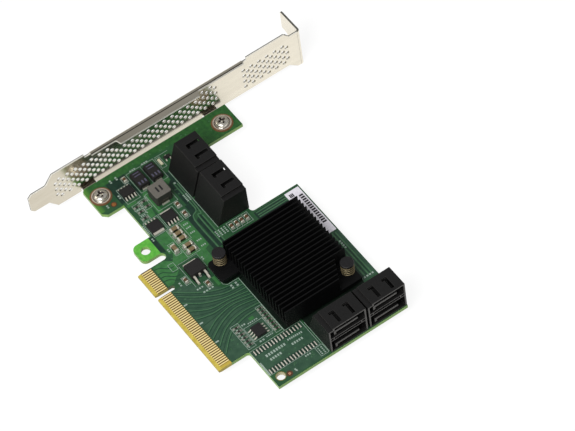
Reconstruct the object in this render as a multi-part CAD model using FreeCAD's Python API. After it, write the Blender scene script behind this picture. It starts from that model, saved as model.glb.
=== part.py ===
import FreeCAD, Part
import math
import os

# Storage controller card for an expansion slot: a board with a gold edge connector, a
# finned heatsink on sprung pins, four stacked data sockets and a folded, perforated bracket.
# Millimetres. The origin is the middle of the key slot at the tip of the edge connector,
# half way through the board. X runs from the bracket to the rear edge, Y from the edge
# connector to the top edge, and Z out of the component side.

V = FreeCAD.Vector
os.makedirs("parts", exist_ok=True)

# Fits shared by several pieces
pin_clearance = 0.2
screw_clearance = 0.1
seat_clearance = 0.02
turned_sides = 12
point_tolerance = 1e-6

# Board: places along X count from the edge beside the bracket
board_thickness = 1.57
board_height = 68.9
key_from_front = 57.5
front_tab_width = 15.4
front_tab_y = 4.8
front_shoulder_y = 13.4
rear_shoulder_y = 12.9
recess_floor_y = 48.7
recess_corner = 1.5
board_corner = 1.2
front_tab_chamfer = 1.0
front_tab_outer_chamfer = 1.8

# Edge connector and its retention hook
tongue_front_margin = 0.8
tongue_rear_margin = 1.7
key_width = 1.9
key_depth = 7.9
hook_width = 8.6
hook_tip_y = 4.7
hook_corner = 2.4
hook_slot_width = 3.2
hook_slot_end_y = 13.1
hook_hole_radius = 1.8
hook_hole_y = 8.4
bevel_length = 1.3
bevel_depth = 0.35
contact_pitch = 1.0
contact_width = 0.7
contact_end_y = 5.4
contact_plating = 0.05
contact_key_offset = 1.5
contacts_front_of_key = 11
contacts_behind_key = 38

# Support hole in the rear corner
corner_hole_radius = 1.65
corner_hole_inset = 3.3
corner_hole_rise = 3.1

# Stacked data sockets
socket_width = 16.1
socket_height = 12.9
socket_top_depth = 9.4
socket_base_depth = 13.7
socket_gap = 0.9
socket_overhang = 0.3
socket_setback = 0.3
socket_wall = 0.7
socket_roof = 0.6
socket_step_width = 1.9
socket_step_drop = 0.9
cavity_depth = 6.6
cavity_floor = 0.4
upper_level_height = 5.15
divider_thickness = 1.7
divider_groove = 0.9
divider_groove_depth = 1.0
tongue_width = 10.4
tongue_thickness = 1.0
lower_tongue_rise = 2.05
upper_tongue_drop = 3.45
tongue_inset = 0.4
tongue_offset = 2.3
tongue_leg_width = 1.0
tongue_leg_drop = 1.1
latch_slot_width = 1.4
latch_slot_length = 5.5
latch_hook_length = 1.1
latch_hook_reach = 0.9
latch_slot_inset = 1.2
latch_slot_offset = 4.2
latch_slot_spacing = 5.9
socket_contact_count = 7
socket_contact_pitch = 1.27
socket_contact_width = 0.7
socket_contact_thickness = 0.15
socket_contact_inset = 0.8
front_sockets_x = 12.4
recess_front_margin = 0.4
recess_rear_margin = 2.0

# Heatsink, its chip and the sprung push pins
socket_to_heatsink = 13.2
heatsink_to_socket = 3.7
heatsink_from_top = 6.9
heatsink_width = 40.2
heatsink_depth = 32.9
heatsink_height = 8.6
heatsink_base = 1.6
fin_count = 21
fin_root = 0.95
fin_tip = 0.5
ear_width = 10.1
ear_depth = 7.6
ear_corner = 1.5
corner_cut_width = 8.9
corner_cut_outer_depth = 9.4
corner_cut_inner_depth = 5.2
pin_left_x = 2.3
pin_left_drop = 3.1
pin_right_x = 5.5
pin_right_drop = 2.4
pin_shank_radius = 1.4
pin_cap_radius = 2.6
pin_cap_height = 0.95
pin_cap_rim = 0.25
pin_barb_radius = 1.95
pin_barb_length = 2.6
pin_tip_radius = 1.0
pin_split = 0.7
spring_height = 4.6
spring_radius = 2.3
spring_wire = 0.5
spring_turns = 3.5
spring_steps_per_turn = 6
chip_size = 25.0
chip_height = 1.8
chip_substrate = 0.6
chip_cap_margin = 1.5
thermal_pad_thickness = 0.2
thermal_pad_margin = 2.5

# Bracket: one folded sheet
sheet = 0.8
bracket_gap = 1.5
bracket_width = 18.42
bracket_top_y = 106.0
fold_radius = 1.25
foot_tip_y = -15.7
foot_width = 9.9
foot_offset = 4.3
foot_chamfer = 1.5
foot_end_y = -8.0
foot_shoulder = 3.4
plate_step_from_top = 7.2
plate_step_length = 2.4
plate_step_drop = 2.7
plate_flare_from_top = 6.5
plate_flare_length = 3.7
plate_flare_drop = 3.3
screw_tab_reach = 12.4
notch_width = 4.4
notch_depth = 4.2
notch_rise = 7.3
flange_start_y = 12.0
flange_end_y = 79.7
flange_reach = 1.9
flange_relief_low = 2.4
flange_relief_high = 2.1
wing_start_y = 22.7
wing_end_y = 59.0
wing_reach = 4.4
wing_taper = 0.6
wing_crease_width = 0.35
wing_crease_depth = 0.25
wing_clear_depth = 6.2
hole_radius = 0.78
hole_sides = 6
hole_pitch_y = 3.535
hole_pitch_z = 3.13
hole_rise = 4.5
hole_rows = 4
first_patch_y = -3.84
first_patch_columns = 41
second_patch_from_top = 26.2
second_patch_columns = 12
mount_tab_width = 5.9
mount_tab_margin = 3.2
mount_tab_relief = 0.5

# Bracket screws
screw_inset = 6.8
screw_low_y = 9.0
screw_high_y = 63.2
screw_radius = 1.45
screw_flange_radius = 4.0
screw_flange_height = 0.4
screw_head_radius = 2.75
screw_head_height = 1.9
screw_head_rim = 0.9
screw_crown_radius = 2.0
screw_end = 0.6
recess_length = 3.2
recess_width = 0.8
recess_depth = 1.1

# Small leaded chips
lead_thickness = 0.2
lead_width = 0.45
lead_pitch = 1.27
leads_per_side = 4
lead_reach = 1.2
lead_foot = 0.6
lead_entry = 0.6
chip_standoff = 0.1
narrow_chip_length = 4.9
narrow_chip_width = 3.9
narrow_chip_height = 1.5
chip_taper = 0.15
logic_chip_x = 11.5
logic_chip_y = 17.6
flash_x = 92.7
flash_below_heatsink = 8.5
power_chip_width = 4.5
power_chip_length = 5.0
power_chip_height = 1.05
power_tab_reach = 0.9
power_tab_width = 4.4
power_tab_thickness = 0.25
power_low_x = 30.9
power_low_y = 17.0
power_high_x = 30.4
power_high_y = 23.7

# Linear regulator
regulator_x = 53.3
regulator_below_heatsink = 14.5
regulator_length = 5.7
regulator_width = 6.5
regulator_height = 2.3
regulator_tab_reach = 1.3
regulator_tab_width = 5.4
regulator_tab_thickness = 0.5
regulator_lead_spacing = 4.57
regulator_lead_reach = 3.2
regulator_lead_width = 0.75
regulator_lead_thickness = 0.5
regulator_lead_entry = 0.7
regulator_lead_foot = 1.2
regulator_stub_reach = 0.6

# Power inductor and the two polymer capacitors beside it
inductor_size = 6.8
inductor_height = 5.0
inductor_x = 17.3
inductor_y = 22.9
inductor_chamfer = 0.5
inductor_terminal_width = 3.0
inductor_terminal_height = 2.2
inductor_terminal_thickness = 0.25
polymer_length = 7.5
polymer_width = 4.4
polymer_height = 2.3
polymer_taper = 0.2
polymer_x = 6.3
polymer_low_y = 22.0
polymer_gap = 1.5
polymer_terminal_width = 2.5
polymer_terminal_height = 1.2
polymer_terminal_thickness = 0.3

# Ceramic capacitors, chip capacitors and chip resistors
ceramic_length = 3.5
ceramic_width = 1.7
ceramic_height = 1.4
ceramic_y = 21.8
ceramic_places_x = [36.7, 39.2, 41.8, 45.6, 48.2]
ceramic_lone_x = 43.9
ceramic_lone_y = 17.1
chip_cap_length = 2.0
chip_cap_width = 1.2
chip_cap_height = 0.8
coupling_x = 48.4
coupling_y = 39.2
coupling_pitch = 2.2
coupling_count = 4
chip_cap_places = [(32.8, 29.0), (27.7, 29.2), (5.9, 20.0)]
regulator_cap_offsets = [(4.6, -2.1), (10.7, 3.6)]
resistor_length = 1.6
resistor_width = 0.8
resistor_height = 0.45
resistor_row_x = 84.8
resistor_row_below_heatsink = 2.5
resistor_row_pitch = 1.55
resistor_row_count = 8
resistor_low_x = 86.5
resistor_low_below_heatsink = 14.1
resistor_low_pitch = 1.8
resistor_low_count = 6
resistor_places = [(19.3, 16.6), (22.0, 16.8), (25.4, 16.4), (18.6, 20.2), (21.2, 20.2)]

# Status lamp and blank sticker
lamp_x = 7.4
lamp_y = 35.0
lamp_length = 3.0
lamp_width = 1.1
lamp_height = 0.6
label_x = 48.7
label_length = 24.6
label_width = 6.1
label_inset = 0.5
label_thickness = 0.1

# Shared levels and edges worked out from the values above
top_z = board_thickness / 2
bottom_z = -board_thickness / 2
front_x = -key_from_front
socket_pitch = socket_width + socket_gap
front_sockets_end = front_x + front_sockets_x + socket_pitch + socket_width
heatsink_x = front_sockets_end + socket_to_heatsink
heatsink_y = board_height - heatsink_from_top - heatsink_depth
heatsink_end = heatsink_x + heatsink_width
rear_x = heatsink_end + heatsink_to_socket + socket_base_depth + socket_setback
front_socket_face_y = recess_floor_y + socket_overhang
heatsink_z = top_z + chip_height + thermal_pad_thickness
base_top_z = heatsink_z + heatsink_base
cap_z = base_top_z + spring_height
pin_left = (heatsink_x + pin_left_x, heatsink_y - pin_left_drop)
pin_right = (heatsink_end - pin_right_x, heatsink_y + heatsink_depth - pin_right_drop)
screw_x = front_x + screw_inset
corner_hole = (rear_x - corner_hole_inset, rear_shoulder_y + corner_hole_rise)
tongue_front = contact_key_offset + (contacts_front_of_key - 1) * contact_pitch + tongue_front_margin
tongue_rear = contact_key_offset + (contacts_behind_key - 1) * contact_pitch + tongue_rear_margin
hook_slot_x = -tongue_front - hook_slot_width
regulator_y = heatsink_y - regulator_below_heatsink
flash_y = heatsink_y - flash_below_heatsink
hook_hole = (hook_slot_x - hook_width / 2, hook_hole_y)
plate_in_x = front_x - bracket_gap
plate_out_x = plate_in_x - sheet
plate_low_z = bottom_z - sheet
plate_high_z = plate_low_z + bracket_width
fold_z = plate_high_z - fold_radius
mount_tab_bend_z = plate_low_z + fold_radius


def on_xy(z):
    return lambda u, v: V(u, v, z)


def on_yz(x):
    return lambda u, v: V(x, u, v)


def on_xz(y):
    return lambda u, v: V(u, y, v)


def box(x0, x1, y0, y1, z0, z1):
    return Part.makeBox(x1 - x0, y1 - y0, z1 - z0, V(x0, y0, z0))


def rounded_prism(corners, place, direction):
    """Solid pushed along direction from corners (u, v, radius) joined by lines and arcs."""
    rounded = []
    for index, (u, v, radius) in enumerate(corners):
        here = V(u, v, 0)
        last = V(*corners[index - 1][:2], 0)
        following = V(*corners[(index + 1) % len(corners)][:2], 0)
        to_last = (last - here).normalize()
        to_next = (following - here).normalize()
        if radius == 0:
            rounded.append((here, None, here))
            continue
        half_angle = to_last.getAngle(to_next) / 2
        reach = radius / math.tan(half_angle)
        inward = (to_last + to_next).normalize()
        middle = here + inward * (radius / math.sin(half_angle) - radius)
        rounded.append((here + to_last * reach, middle, here + to_next * reach))

    edges = []
    for index, (start, middle, end) in enumerate(rounded):
        if middle is not None:
            arc = Part.Arc(place(start.x, start.y), place(middle.x, middle.y), place(end.x, end.y))
            edges.append(arc.toShape())
        next_start = rounded[(index + 1) % len(rounded)][0]
        if end.distanceToPoint(next_start) > point_tolerance:
            edges.append(Part.makeLine(place(end.x, end.y), place(next_start.x, next_start.y)))
    return Part.Face(Part.Wire(edges)).extrude(direction)


def prism(points, place, direction):
    return rounded_prism([(u, v, 0) for u, v in points], place, direction)


def faceted(facets):
    """Closed solid from flat facets, each a list of corners."""
    faces = [Part.Face(Part.makePolygon(corners + corners[:1])) for corners in facets]
    return Part.Solid(Part.Shell(faces))


def banded(rings):
    """Closed solid from rings of corners stacked upwards, joined by bands of flat sides."""
    facets = [rings[0][::-1], rings[-1]]
    for lower, upper in zip(rings, rings[1:]):
        for side in range(len(lower)):
            ahead = (side + 1) % len(lower)
            facets.append([lower[side], lower[ahead], upper[ahead], upper[side]])
    return faceted(facets)


def tapered_block(x0, x1, y0, y1, z0, z1, taper):
    """Moulded block whose four sides lean in by taper from foot to top."""
    foot = [V(x0, y0, z0), V(x1, y0, z0), V(x1, y1, z0), V(x0, y1, z0)]
    top = [
        V(x0 + taper, y0 + taper, z1),
        V(x1 - taper, y0 + taper, z1),
        V(x1 - taper, y1 - taper, z1),
        V(x0 + taper, y1 - taper, z1),
    ]
    return banded([foot, top])


def ring(x, y, radius, sides, first=0.0):
    """Corners (u, v) of a regular polygon, its first corner turned by a share of one side."""
    turns = [2 * math.pi * (side + first) / sides for side in range(sides)]
    return [(x + radius * math.cos(turn), y + radius * math.sin(turn)) for turn in turns]


def turned(profile, x, y):
    """Small turned piece about the Z line through (x, y), from (radius, z) points, in flats."""
    rings = [[V(u, v, z) for u, v in ring(x, y, radius, turned_sides)] for radius, z in profile]
    return banded(rings)


def drill(x, y, radius, z0, z1):
    """Hole for a small turned piece, with the same flats as the piece."""
    return prism(ring(x, y, radius, turned_sides), on_xy(z0), V(0, 0, z1 - z0))


def bore(x, y, radius, z0, z1):
    return Part.makeCylinder(radius, z1 - z0, V(x, y, z0))


def save(name, pieces):
    """Write one node; a list becomes a group of separate solids."""
    shape = Part.makeCompound(pieces) if isinstance(pieces, list) else pieces
    shape.exportStep("parts/" + name + ".step")


# Board
def board():
    tab_end = front_x + front_tab_width
    hook_x = hook_slot_x - hook_width
    recess_x = front_x + front_sockets_x - recess_front_margin
    recess_end = front_sockets_end + recess_rear_margin
    half_key = key_width / 2
    slot_end = hook_slot_width / 2
    corners = [
        (front_x, front_tab_y + front_tab_chamfer, 0),
        (front_x + front_tab_chamfer, front_tab_y, 0),
        (tab_end - front_tab_outer_chamfer, front_tab_y, 0),
        (tab_end, front_tab_y + front_tab_outer_chamfer, 0),
        (tab_end, front_shoulder_y, 0),
        (hook_x, front_shoulder_y, 0),
        (hook_x, hook_tip_y, hook_corner),
        (hook_slot_x, hook_tip_y, hook_corner),
        (hook_slot_x, hook_slot_end_y, slot_end),
        (-tongue_front, hook_slot_end_y, slot_end),
        (-tongue_front, 0, 0),
        (-half_key, 0, 0),
        (-half_key, key_depth, half_key),
        (half_key, key_depth, half_key),
        (half_key, 0, 0),
        (tongue_rear, 0, 0),
        (tongue_rear, rear_shoulder_y, board_corner),
        (rear_x, rear_shoulder_y, 0),
        (rear_x, board_height, 0),
        (recess_end, board_height, 0),
        (recess_end, recess_floor_y, recess_corner),
        (recess_x, recess_floor_y, recess_corner),
        (recess_x, board_height, 0),
        (front_x, board_height, 0),
    ]
    slab = rounded_prism(corners, on_xy(bottom_z), V(0, 0, board_thickness))
    cuts = []
    for face_z, inward in ((top_z, -bevel_depth), (bottom_z, bevel_depth)):
        wedge = [(0, face_z), (bevel_length, face_z), (0, face_z + inward)]
        cuts.append(prism(wedge, on_yz(-tongue_front), V(tongue_front + tongue_rear, 0, 0)))
    for y in (screw_low_y, screw_high_y):
        cuts.append(drill(screw_x, y, screw_radius + screw_clearance, bottom_z, top_z))
    for x, y in (pin_left, pin_right):
        cuts.append(drill(x, y, pin_shank_radius + pin_clearance, bottom_z, top_z))
    cuts.append(bore(*corner_hole, corner_hole_radius, bottom_z, top_z))
    cuts.append(bore(*hook_hole, hook_hole_radius, bottom_z, top_z))
    return slab.cut(cuts)


def edge_contacts(face_z):
    """Gold fingers on one face: a short row before the key slot and a long one after it."""
    places = [-contact_key_offset - contact_pitch * n for n in range(contacts_front_of_key)]
    places += [contact_key_offset + contact_pitch * n for n in range(contacts_behind_key)]
    half = contact_width / 2
    return [
        box(x - half, x + half, bevel_length, contact_end_y, face_z, face_z + contact_plating)
        for x in places
    ]


# Bracket
def plate_outline():
    foot_low_z = plate_low_z + foot_offset
    foot_high_z = foot_low_z + foot_width
    shoulder_y = foot_end_y + foot_shoulder
    step_y = bracket_top_y - plate_step_from_top
    step_z = plate_high_z - plate_step_drop
    flare_y = bracket_top_y - plate_flare_from_top
    flare_z = plate_low_z - plate_flare_drop
    fold_y = bracket_top_y - fold_radius
    return [
        (foot_tip_y, foot_low_z + foot_chamfer, 0),
        (foot_tip_y + foot_chamfer, foot_low_z, 0),
        (foot_end_y, foot_low_z, 0),
        (shoulder_y, plate_low_z, 0),
        (flare_y, plate_low_z, 0),
        (flare_y + plate_flare_length, flare_z, 0),
        (fold_y, flare_z, 0),
        (fold_y, step_z, 0),
        (step_y + plate_step_length, step_z, 0),
        (step_y, plate_high_z, 0),
        (shoulder_y, plate_high_z, 0),
        (foot_end_y, foot_high_z, 0),
        (foot_tip_y + foot_chamfer, foot_high_z, 0),
        (foot_tip_y, foot_high_z - foot_chamfer, 0),
    ]


def vent_holes():
    """Staggered vent holes in two patches, left out where the flange's wing stands over them.

    Each punch has a few flats and the open area of a round hole of hole_radius.
    """
    clear_z = plate_high_z - wing_clear_depth
    side_angle = 2 * math.pi / hole_sides
    corner_radius = hole_radius * math.sqrt(side_angle / math.sin(side_angle))
    first_z = plate_low_z + hole_rise
    second_patch_y = bracket_top_y - second_patch_from_top
    patches = [
        (first_patch_y, first_patch_columns, first_z, 0),
        (second_patch_y, second_patch_columns, first_z - hole_pitch_z / 2, 1),
    ]
    holes = []
    for start_y, columns, low_z, phase in patches:
        for column in range(columns):
            y = start_y + column * hole_pitch_y / 2
            short = (column + phase) % 2 == 0
            for row in range(hole_rows - short):
                z = low_z + hole_pitch_z * (row + 0.5 * short)
                under_wing = wing_start_y - hole_pitch_y / 2 < y < wing_end_y + hole_pitch_y / 2
                if under_wing and z + hole_radius > clear_z:
                    continue
                rim = ring(y, z, corner_radius, hole_sides, 0.5)
                holes.append(prism(rim, on_yz(plate_out_x), V(sheet, 0, 0)))
    return holes


def flange():
    """Right-angled fold along the plate's upper edge, towards the board, with a creased wing."""
    tip_x = plate_out_x + flange_reach
    wing_x = plate_out_x + wing_reach
    under_z = plate_high_z - sheet
    section = [
        (plate_out_x, fold_z, 0),
        (plate_out_x, plate_high_z, fold_radius),
        (tip_x, plate_high_z, 0),
        (tip_x, under_z, 0),
        (plate_in_x, under_z, fold_radius - sheet),
        (plate_in_x, fold_z, 0),
    ]
    strip = rounded_prism(section, on_xz(flange_start_y), V(0, flange_end_y - flange_start_y, 0))
    outline = [
        (tip_x, wing_start_y),
        (wing_x, wing_start_y + wing_taper),
        (wing_x, wing_end_y - wing_taper),
        (tip_x, wing_end_y),
    ]
    wing = prism(outline, on_xy(under_z), V(0, 0, sheet))
    crease_z = plate_high_z - wing_crease_depth
    crease_end_x = tip_x + wing_crease_width
    crease = box(tip_x, crease_end_x, wing_start_y, wing_end_y, crease_z, plate_high_z)
    return strip.fuse(wing.cut(crease))


def mount_tab(screw_y):
    """Tab folded in under the board, with the hole that takes a screw."""
    start_y = screw_y - mount_tab_width / 2
    end_x = screw_x + mount_tab_margin
    section = [
        (plate_out_x, mount_tab_bend_z, 0),
        (plate_out_x, plate_low_z, fold_radius),
        (end_x, plate_low_z, 0),
        (end_x, bottom_z, 0),
        (plate_in_x, bottom_z, fold_radius - sheet),
        (plate_in_x, mount_tab_bend_z, 0),
    ]
    tab = rounded_prism(section, on_xz(start_y), V(0, mount_tab_width, 0))
    return tab.cut(drill(screw_x, screw_y, screw_radius + seat_clearance, plate_low_z, bottom_z))


def screw_tab():
    """Tab folded out at the top, with the open notch for the chassis screw."""
    low_z = plate_low_z - plate_flare_drop
    high_z = plate_high_z - plate_step_drop
    tip_x = plate_in_x - screw_tab_reach
    section = [
        (plate_in_x, bracket_top_y - fold_radius, 0),
        (plate_in_x, bracket_top_y, fold_radius),
        (tip_x, bracket_top_y, 0),
        (tip_x, bracket_top_y - sheet, 0),
        (plate_out_x, bracket_top_y - sheet, fold_radius - sheet),
        (plate_out_x, bracket_top_y - fold_radius, 0),
    ]
    tab = rounded_prism(section, on_xy(low_z), V(0, 0, high_z - low_z))
    notch_low = low_z + notch_rise - notch_width / 2
    notch_high = low_z + notch_rise + notch_width / 2
    notch = [
        (tip_x, notch_low, 0),
        (tip_x + notch_depth, notch_low, notch_width / 2),
        (tip_x + notch_depth, notch_high, notch_width / 2),
        (tip_x, notch_high, 0),
    ]
    return tab.cut(rounded_prism(notch, on_xz(bracket_top_y - sheet), V(0, sheet, 0)))


def bracket():
    plate = rounded_prism(plate_outline(), on_yz(plate_out_x), V(sheet, 0, 0))
    fold_start = flange_start_y - flange_relief_low
    fold_end = flange_end_y + flange_relief_high
    cuts = vent_holes()
    cuts.append(box(plate_out_x, plate_in_x, fold_start, fold_end, fold_z, plate_high_z))
    for screw_y in (screw_low_y, screw_high_y):
        half = mount_tab_width / 2 + mount_tab_relief
        low_y, high_y = screw_y - half, screw_y + half
        cuts.append(box(plate_out_x, plate_in_x, low_y, high_y, plate_low_z, mount_tab_bend_z))
    folds = [flange(), mount_tab(screw_low_y), mount_tab(screw_high_y), screw_tab()]
    return plate.cut(cuts).fuse(folds).removeSplitter()


def bracket_screw(y):
    """Flanged, domed head with a cross recess, seated on the board, and its shank."""
    end_z = plate_low_z - screw_end
    flange_z = top_z + screw_flange_height
    rim_z = top_z + screw_head_rim
    crown_z = top_z + screw_head_height
    profile = [
        (screw_radius, end_z),
        (screw_radius, top_z),
        (screw_flange_radius, top_z),
        (screw_flange_radius, flange_z),
        (screw_head_radius, flange_z),
        (screw_head_radius, rim_z),
        (screw_crown_radius, crown_z),
    ]
    screw = turned(profile, screw_x, y)
    long_half, short_half = recess_length / 2, recess_width / 2
    floor_z = crown_z - recess_depth
    along = box(screw_x - long_half, screw_x + long_half, y - short_half, y + short_half, floor_z, crown_z)
    across = box(screw_x - short_half, screw_x + short_half, y - long_half, y + long_half, floor_z, crown_z)
    return screw.cut([along, across])


# Heatsink and what holds it
def heatsink():
    """Extruded comb of tapered fins, with an ear and a cut corner for the two pins."""
    end_y = heatsink_y + heatsink_depth
    top = heatsink_z + heatsink_height
    pitch = (heatsink_width - fin_root) / (fin_count - 1)
    lean = (fin_root - fin_tip) / 2
    comb = [(heatsink_end, heatsink_z), (heatsink_x, heatsink_z)]
    for fin in range(fin_count):
        x = heatsink_x + fin * pitch
        comb += [(x, base_top_z), (x + lean, top), (x + lean + fin_tip, top), (x + fin_root, base_top_z)]
    block = prism(comb, on_xz(heatsink_y), V(0, heatsink_depth, 0))
    cut_x = heatsink_end - corner_cut_width
    clearance = [
        (heatsink_end, end_y),
        (cut_x, end_y),
        (cut_x, end_y - corner_cut_inner_depth),
        (heatsink_end, end_y - corner_cut_outer_depth),
    ]
    block = block.cut(prism(clearance, on_xy(base_top_z), V(0, 0, top - base_top_z)))
    ear_end_x = heatsink_x + ear_width
    ear_low_y = heatsink_y - ear_depth
    ear = [
        (heatsink_x, heatsink_y, 0),
        (heatsink_x, ear_low_y, ear_corner),
        (ear_end_x, ear_low_y, ear_corner),
        (ear_end_x, heatsink_y, 0),
    ]
    block = block.fuse(rounded_prism(ear, on_xy(heatsink_z), V(0, 0, heatsink_base)))
    holes = [
        drill(x, y, pin_shank_radius + pin_clearance, heatsink_z, base_top_z)
        for x, y in (pin_left, pin_right)
    ]
    return block.cut(holes).removeSplitter()


def push_pin(x, y):
    """Capped pin through heatsink and board, ending in a split barb."""
    barb_z = bottom_z - seat_clearance
    tip_z = barb_z - pin_barb_length
    crown_z = cap_z + pin_cap_height
    profile = [
        (pin_tip_radius, tip_z),
        (pin_barb_radius, barb_z),
        (pin_shank_radius, barb_z),
        (pin_shank_radius, cap_z),
        (pin_cap_radius, cap_z),
        (pin_cap_radius, crown_z - pin_cap_rim),
        (pin_cap_radius - pin_cap_rim, crown_z),
    ]
    half = pin_split / 2
    reach = pin_barb_radius
    split = box(x - half, x + half, y - reach, y + reach, tip_z, barb_z)
    return turned(profile, x, y).cut(split)


def pin_spring(x, y):
    """Coil of square wire between the heatsink and the pin's cap, as flat facets."""
    half = spring_wire / 2
    steps = int(spring_turns * spring_steps_per_turn)
    climb = (spring_height - spring_wire) / steps
    rings = []
    for step in range(steps + 1):
        angle = 2 * math.pi * step / spring_steps_per_turn
        out = V(math.cos(angle), math.sin(angle), 0)
        centre = V(x, y, base_top_z + half + climb * step) + out * spring_radius
        rise = V(0, 0, half)
        rings.append([centre + out * half, centre + rise, centre - out * half, centre - rise])
    facets = [rings[0][::-1], rings[-1]]
    for lower, upper in zip(rings, rings[1:]):
        for side in range(4):
            ahead = (side + 1) % 4
            facets.append([lower[side], lower[ahead], upper[ahead]])
            facets.append([lower[side], upper[ahead], upper[side]])
    return faceted(facets)


def controller_chip():
    """Moulded package on its thin substrate, centred under the heatsink."""
    x = heatsink_x + (heatsink_width - chip_size) / 2
    y = heatsink_y + (heatsink_depth - chip_size) / 2
    inset = chip_cap_margin
    step_z = top_z + chip_substrate
    substrate = box(x, x + chip_size, y, y + chip_size, top_z, step_z)
    cap_end_x, cap_end_y = x + chip_size - inset, y + chip_size - inset
    cap = tapered_block(x + inset, cap_end_x, y + inset, cap_end_y, step_z, top_z + chip_height, chip_taper)
    return substrate.fuse(cap)


def thermal_pad():
    side = chip_size - 2 * chip_cap_margin - 2 * thermal_pad_margin
    x = heatsink_x + (heatsink_width - side) / 2
    y = heatsink_y + (heatsink_depth - side) / 2
    return box(x, x + side, y, y + side, top_z + chip_height, heatsink_z)


# Stacked data sockets, drawn with the opening at x = 0 facing +X and the stepped end at y = 0
def socket_levels():
    """Floor, ceiling and tongue underside of the lower and the upper cavity."""
    upper_floor = socket_height - upper_level_height
    lower = (cavity_floor, upper_floor - divider_thickness, lower_tongue_rise)
    upper = (upper_floor, socket_height - socket_roof, socket_height - upper_tongue_drop)
    return [lower, upper]


def socket_housing():
    side = [
        (0, 0),
        (0, socket_height),
        (-socket_top_depth, socket_height),
        (-socket_base_depth, 0),
    ]
    housing = prism(side, on_xz(0), V(0, socket_width, 0))
    shelf_z = socket_height - socket_step_drop
    step = box(-socket_base_depth, 0, 0, socket_step_width, shelf_z, socket_height)
    cuts = [step]
    inner_end = socket_width - socket_wall
    for floor, ceiling, z in socket_levels():
        low_ceiling = min(ceiling, shelf_z - socket_roof)
        cuts.append(box(-cavity_depth, 0, socket_wall, inner_end, floor, low_ceiling))
        if low_ceiling < ceiling:
            inner_start = socket_step_width + socket_wall
            cuts.append(box(-cavity_depth, 0, inner_start, inner_end, low_ceiling, ceiling))
    groove_z = socket_height - upper_level_height - (divider_thickness + divider_groove) / 2
    groove_span = (socket_wall, inner_end, groove_z, groove_z + divider_groove)
    cuts.append(box(-divider_groove_depth, 0, *groove_span))
    for slot in range(2):
        y = socket_width - latch_slot_offset - slot * latch_slot_spacing
        back = -latch_slot_inset - latch_slot_length
        roof = socket_height - socket_roof
        low_y, high_y = y - latch_slot_width / 2, y + latch_slot_width / 2
        outline = [
            (back, high_y),
            (back, low_y - latch_hook_reach),
            (back + latch_hook_length, low_y - latch_hook_reach),
            (back + latch_hook_length, low_y),
            (-latch_slot_inset, low_y),
            (-latch_slot_inset, high_y),
        ]
        cuts.append(prism(outline, on_xy(roof), V(0, 0, socket_roof)))
    tongues = []
    leg_end = tongue_offset + tongue_leg_width
    tongue_end = tongue_offset + tongue_width
    for floor, ceiling, z in socket_levels():
        top = z + tongue_thickness
        tongues.append(box(-cavity_depth, -tongue_inset, tongue_offset, tongue_end, z, top))
        tongues.append(box(-cavity_depth, -tongue_inset, tongue_offset, leg_end, z - tongue_leg_drop, z))
    return housing.cut(cuts).fuse(tongues).removeSplitter()


def socket_contacts():
    """Contact strips under each tongue, from the cavity's back to just behind its tip."""
    span = (socket_contact_count - 1) * socket_contact_pitch
    clear_start = tongue_offset + tongue_leg_width
    clear_width = tongue_width - tongue_leg_width
    first = clear_start + (clear_width - span) / 2
    half = socket_contact_width / 2
    strips = []
    for floor, ceiling, z in socket_levels():
        for contact in range(socket_contact_count):
            y = first + contact * socket_contact_pitch
            low_z = z - socket_contact_thickness
            strips.append(box(-cavity_depth, -socket_contact_inset, y - half, y + half, low_z, z))
    return strips


def place_socket(shape, x, y, turn):
    """Stand a socket piece on the board, turned about Z."""
    placed = shape.copy()
    placed.rotate(V(0, 0, 0), V(0, 0, 1), turn)
    placed.translate(V(x, y, top_z))
    return placed


# Leaded chips
def lead(body_side, at, outward, place):
    """Bent lead from a chip's side down to its foot on the board."""
    tip = body_side + outward * lead_reach
    heel = tip - outward * lead_foot
    entry_z = top_z + lead_entry
    section = [
        (tip, top_z),
        (heel, top_z),
        (body_side, entry_z),
        (body_side, entry_z + lead_thickness),
        (heel, top_z + lead_thickness),
        (tip, top_z + lead_thickness),
    ]
    start = at - lead_width / 2
    direction = V(0, lead_width, 0) if place is on_xz else V(lead_width, 0, 0)
    return prism(section, place(start), direction)


def lead_row(middle):
    first = middle - (leads_per_side - 1) / 2 * lead_pitch
    return [first + n * lead_pitch for n in range(leads_per_side)]


def chip_body(x, y, size_x, size_y, height):
    half_x, half_y = size_x / 2, size_y / 2
    foot_z = top_z + chip_standoff
    return box(x - half_x, x + half_x, y - half_y, y + half_y, foot_z, top_z + height)


def narrow_chip(x, y, along_x):
    """Eight-lead chip: its body, and its leads on the two long sides."""
    size_x, size_y = narrow_chip_length, narrow_chip_width
    if not along_x:
        size_x, size_y = size_y, size_x
    body = chip_body(x, y, size_x, size_y, narrow_chip_height)
    leads = []
    for outward in (-1, 1):
        if along_x:
            side = y + outward * size_y / 2
            leads += [lead(side, at, outward, on_yz) for at in lead_row(x)]
        else:
            side = x + outward * size_x / 2
            leads += [lead(side, at, outward, on_xz) for at in lead_row(y)]
    return body, leads


def power_chip(x, y, lead_side):
    """Switch with leads on one side and a wide metal tab on the other."""
    body = chip_body(x, y, power_chip_width, power_chip_length, power_chip_height)
    side = x + lead_side * power_chip_width / 2
    leads = [lead(side, at, lead_side, on_xz) for at in lead_row(y)]
    tab_side = x - lead_side * power_chip_width / 2
    tab_tip = tab_side - lead_side * power_tab_reach
    tab_x = sorted((tab_side, tab_tip))
    half = power_tab_width / 2
    leads.append(box(*tab_x, y - half, y + half, top_z, top_z + power_tab_thickness))
    return body, leads


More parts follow.
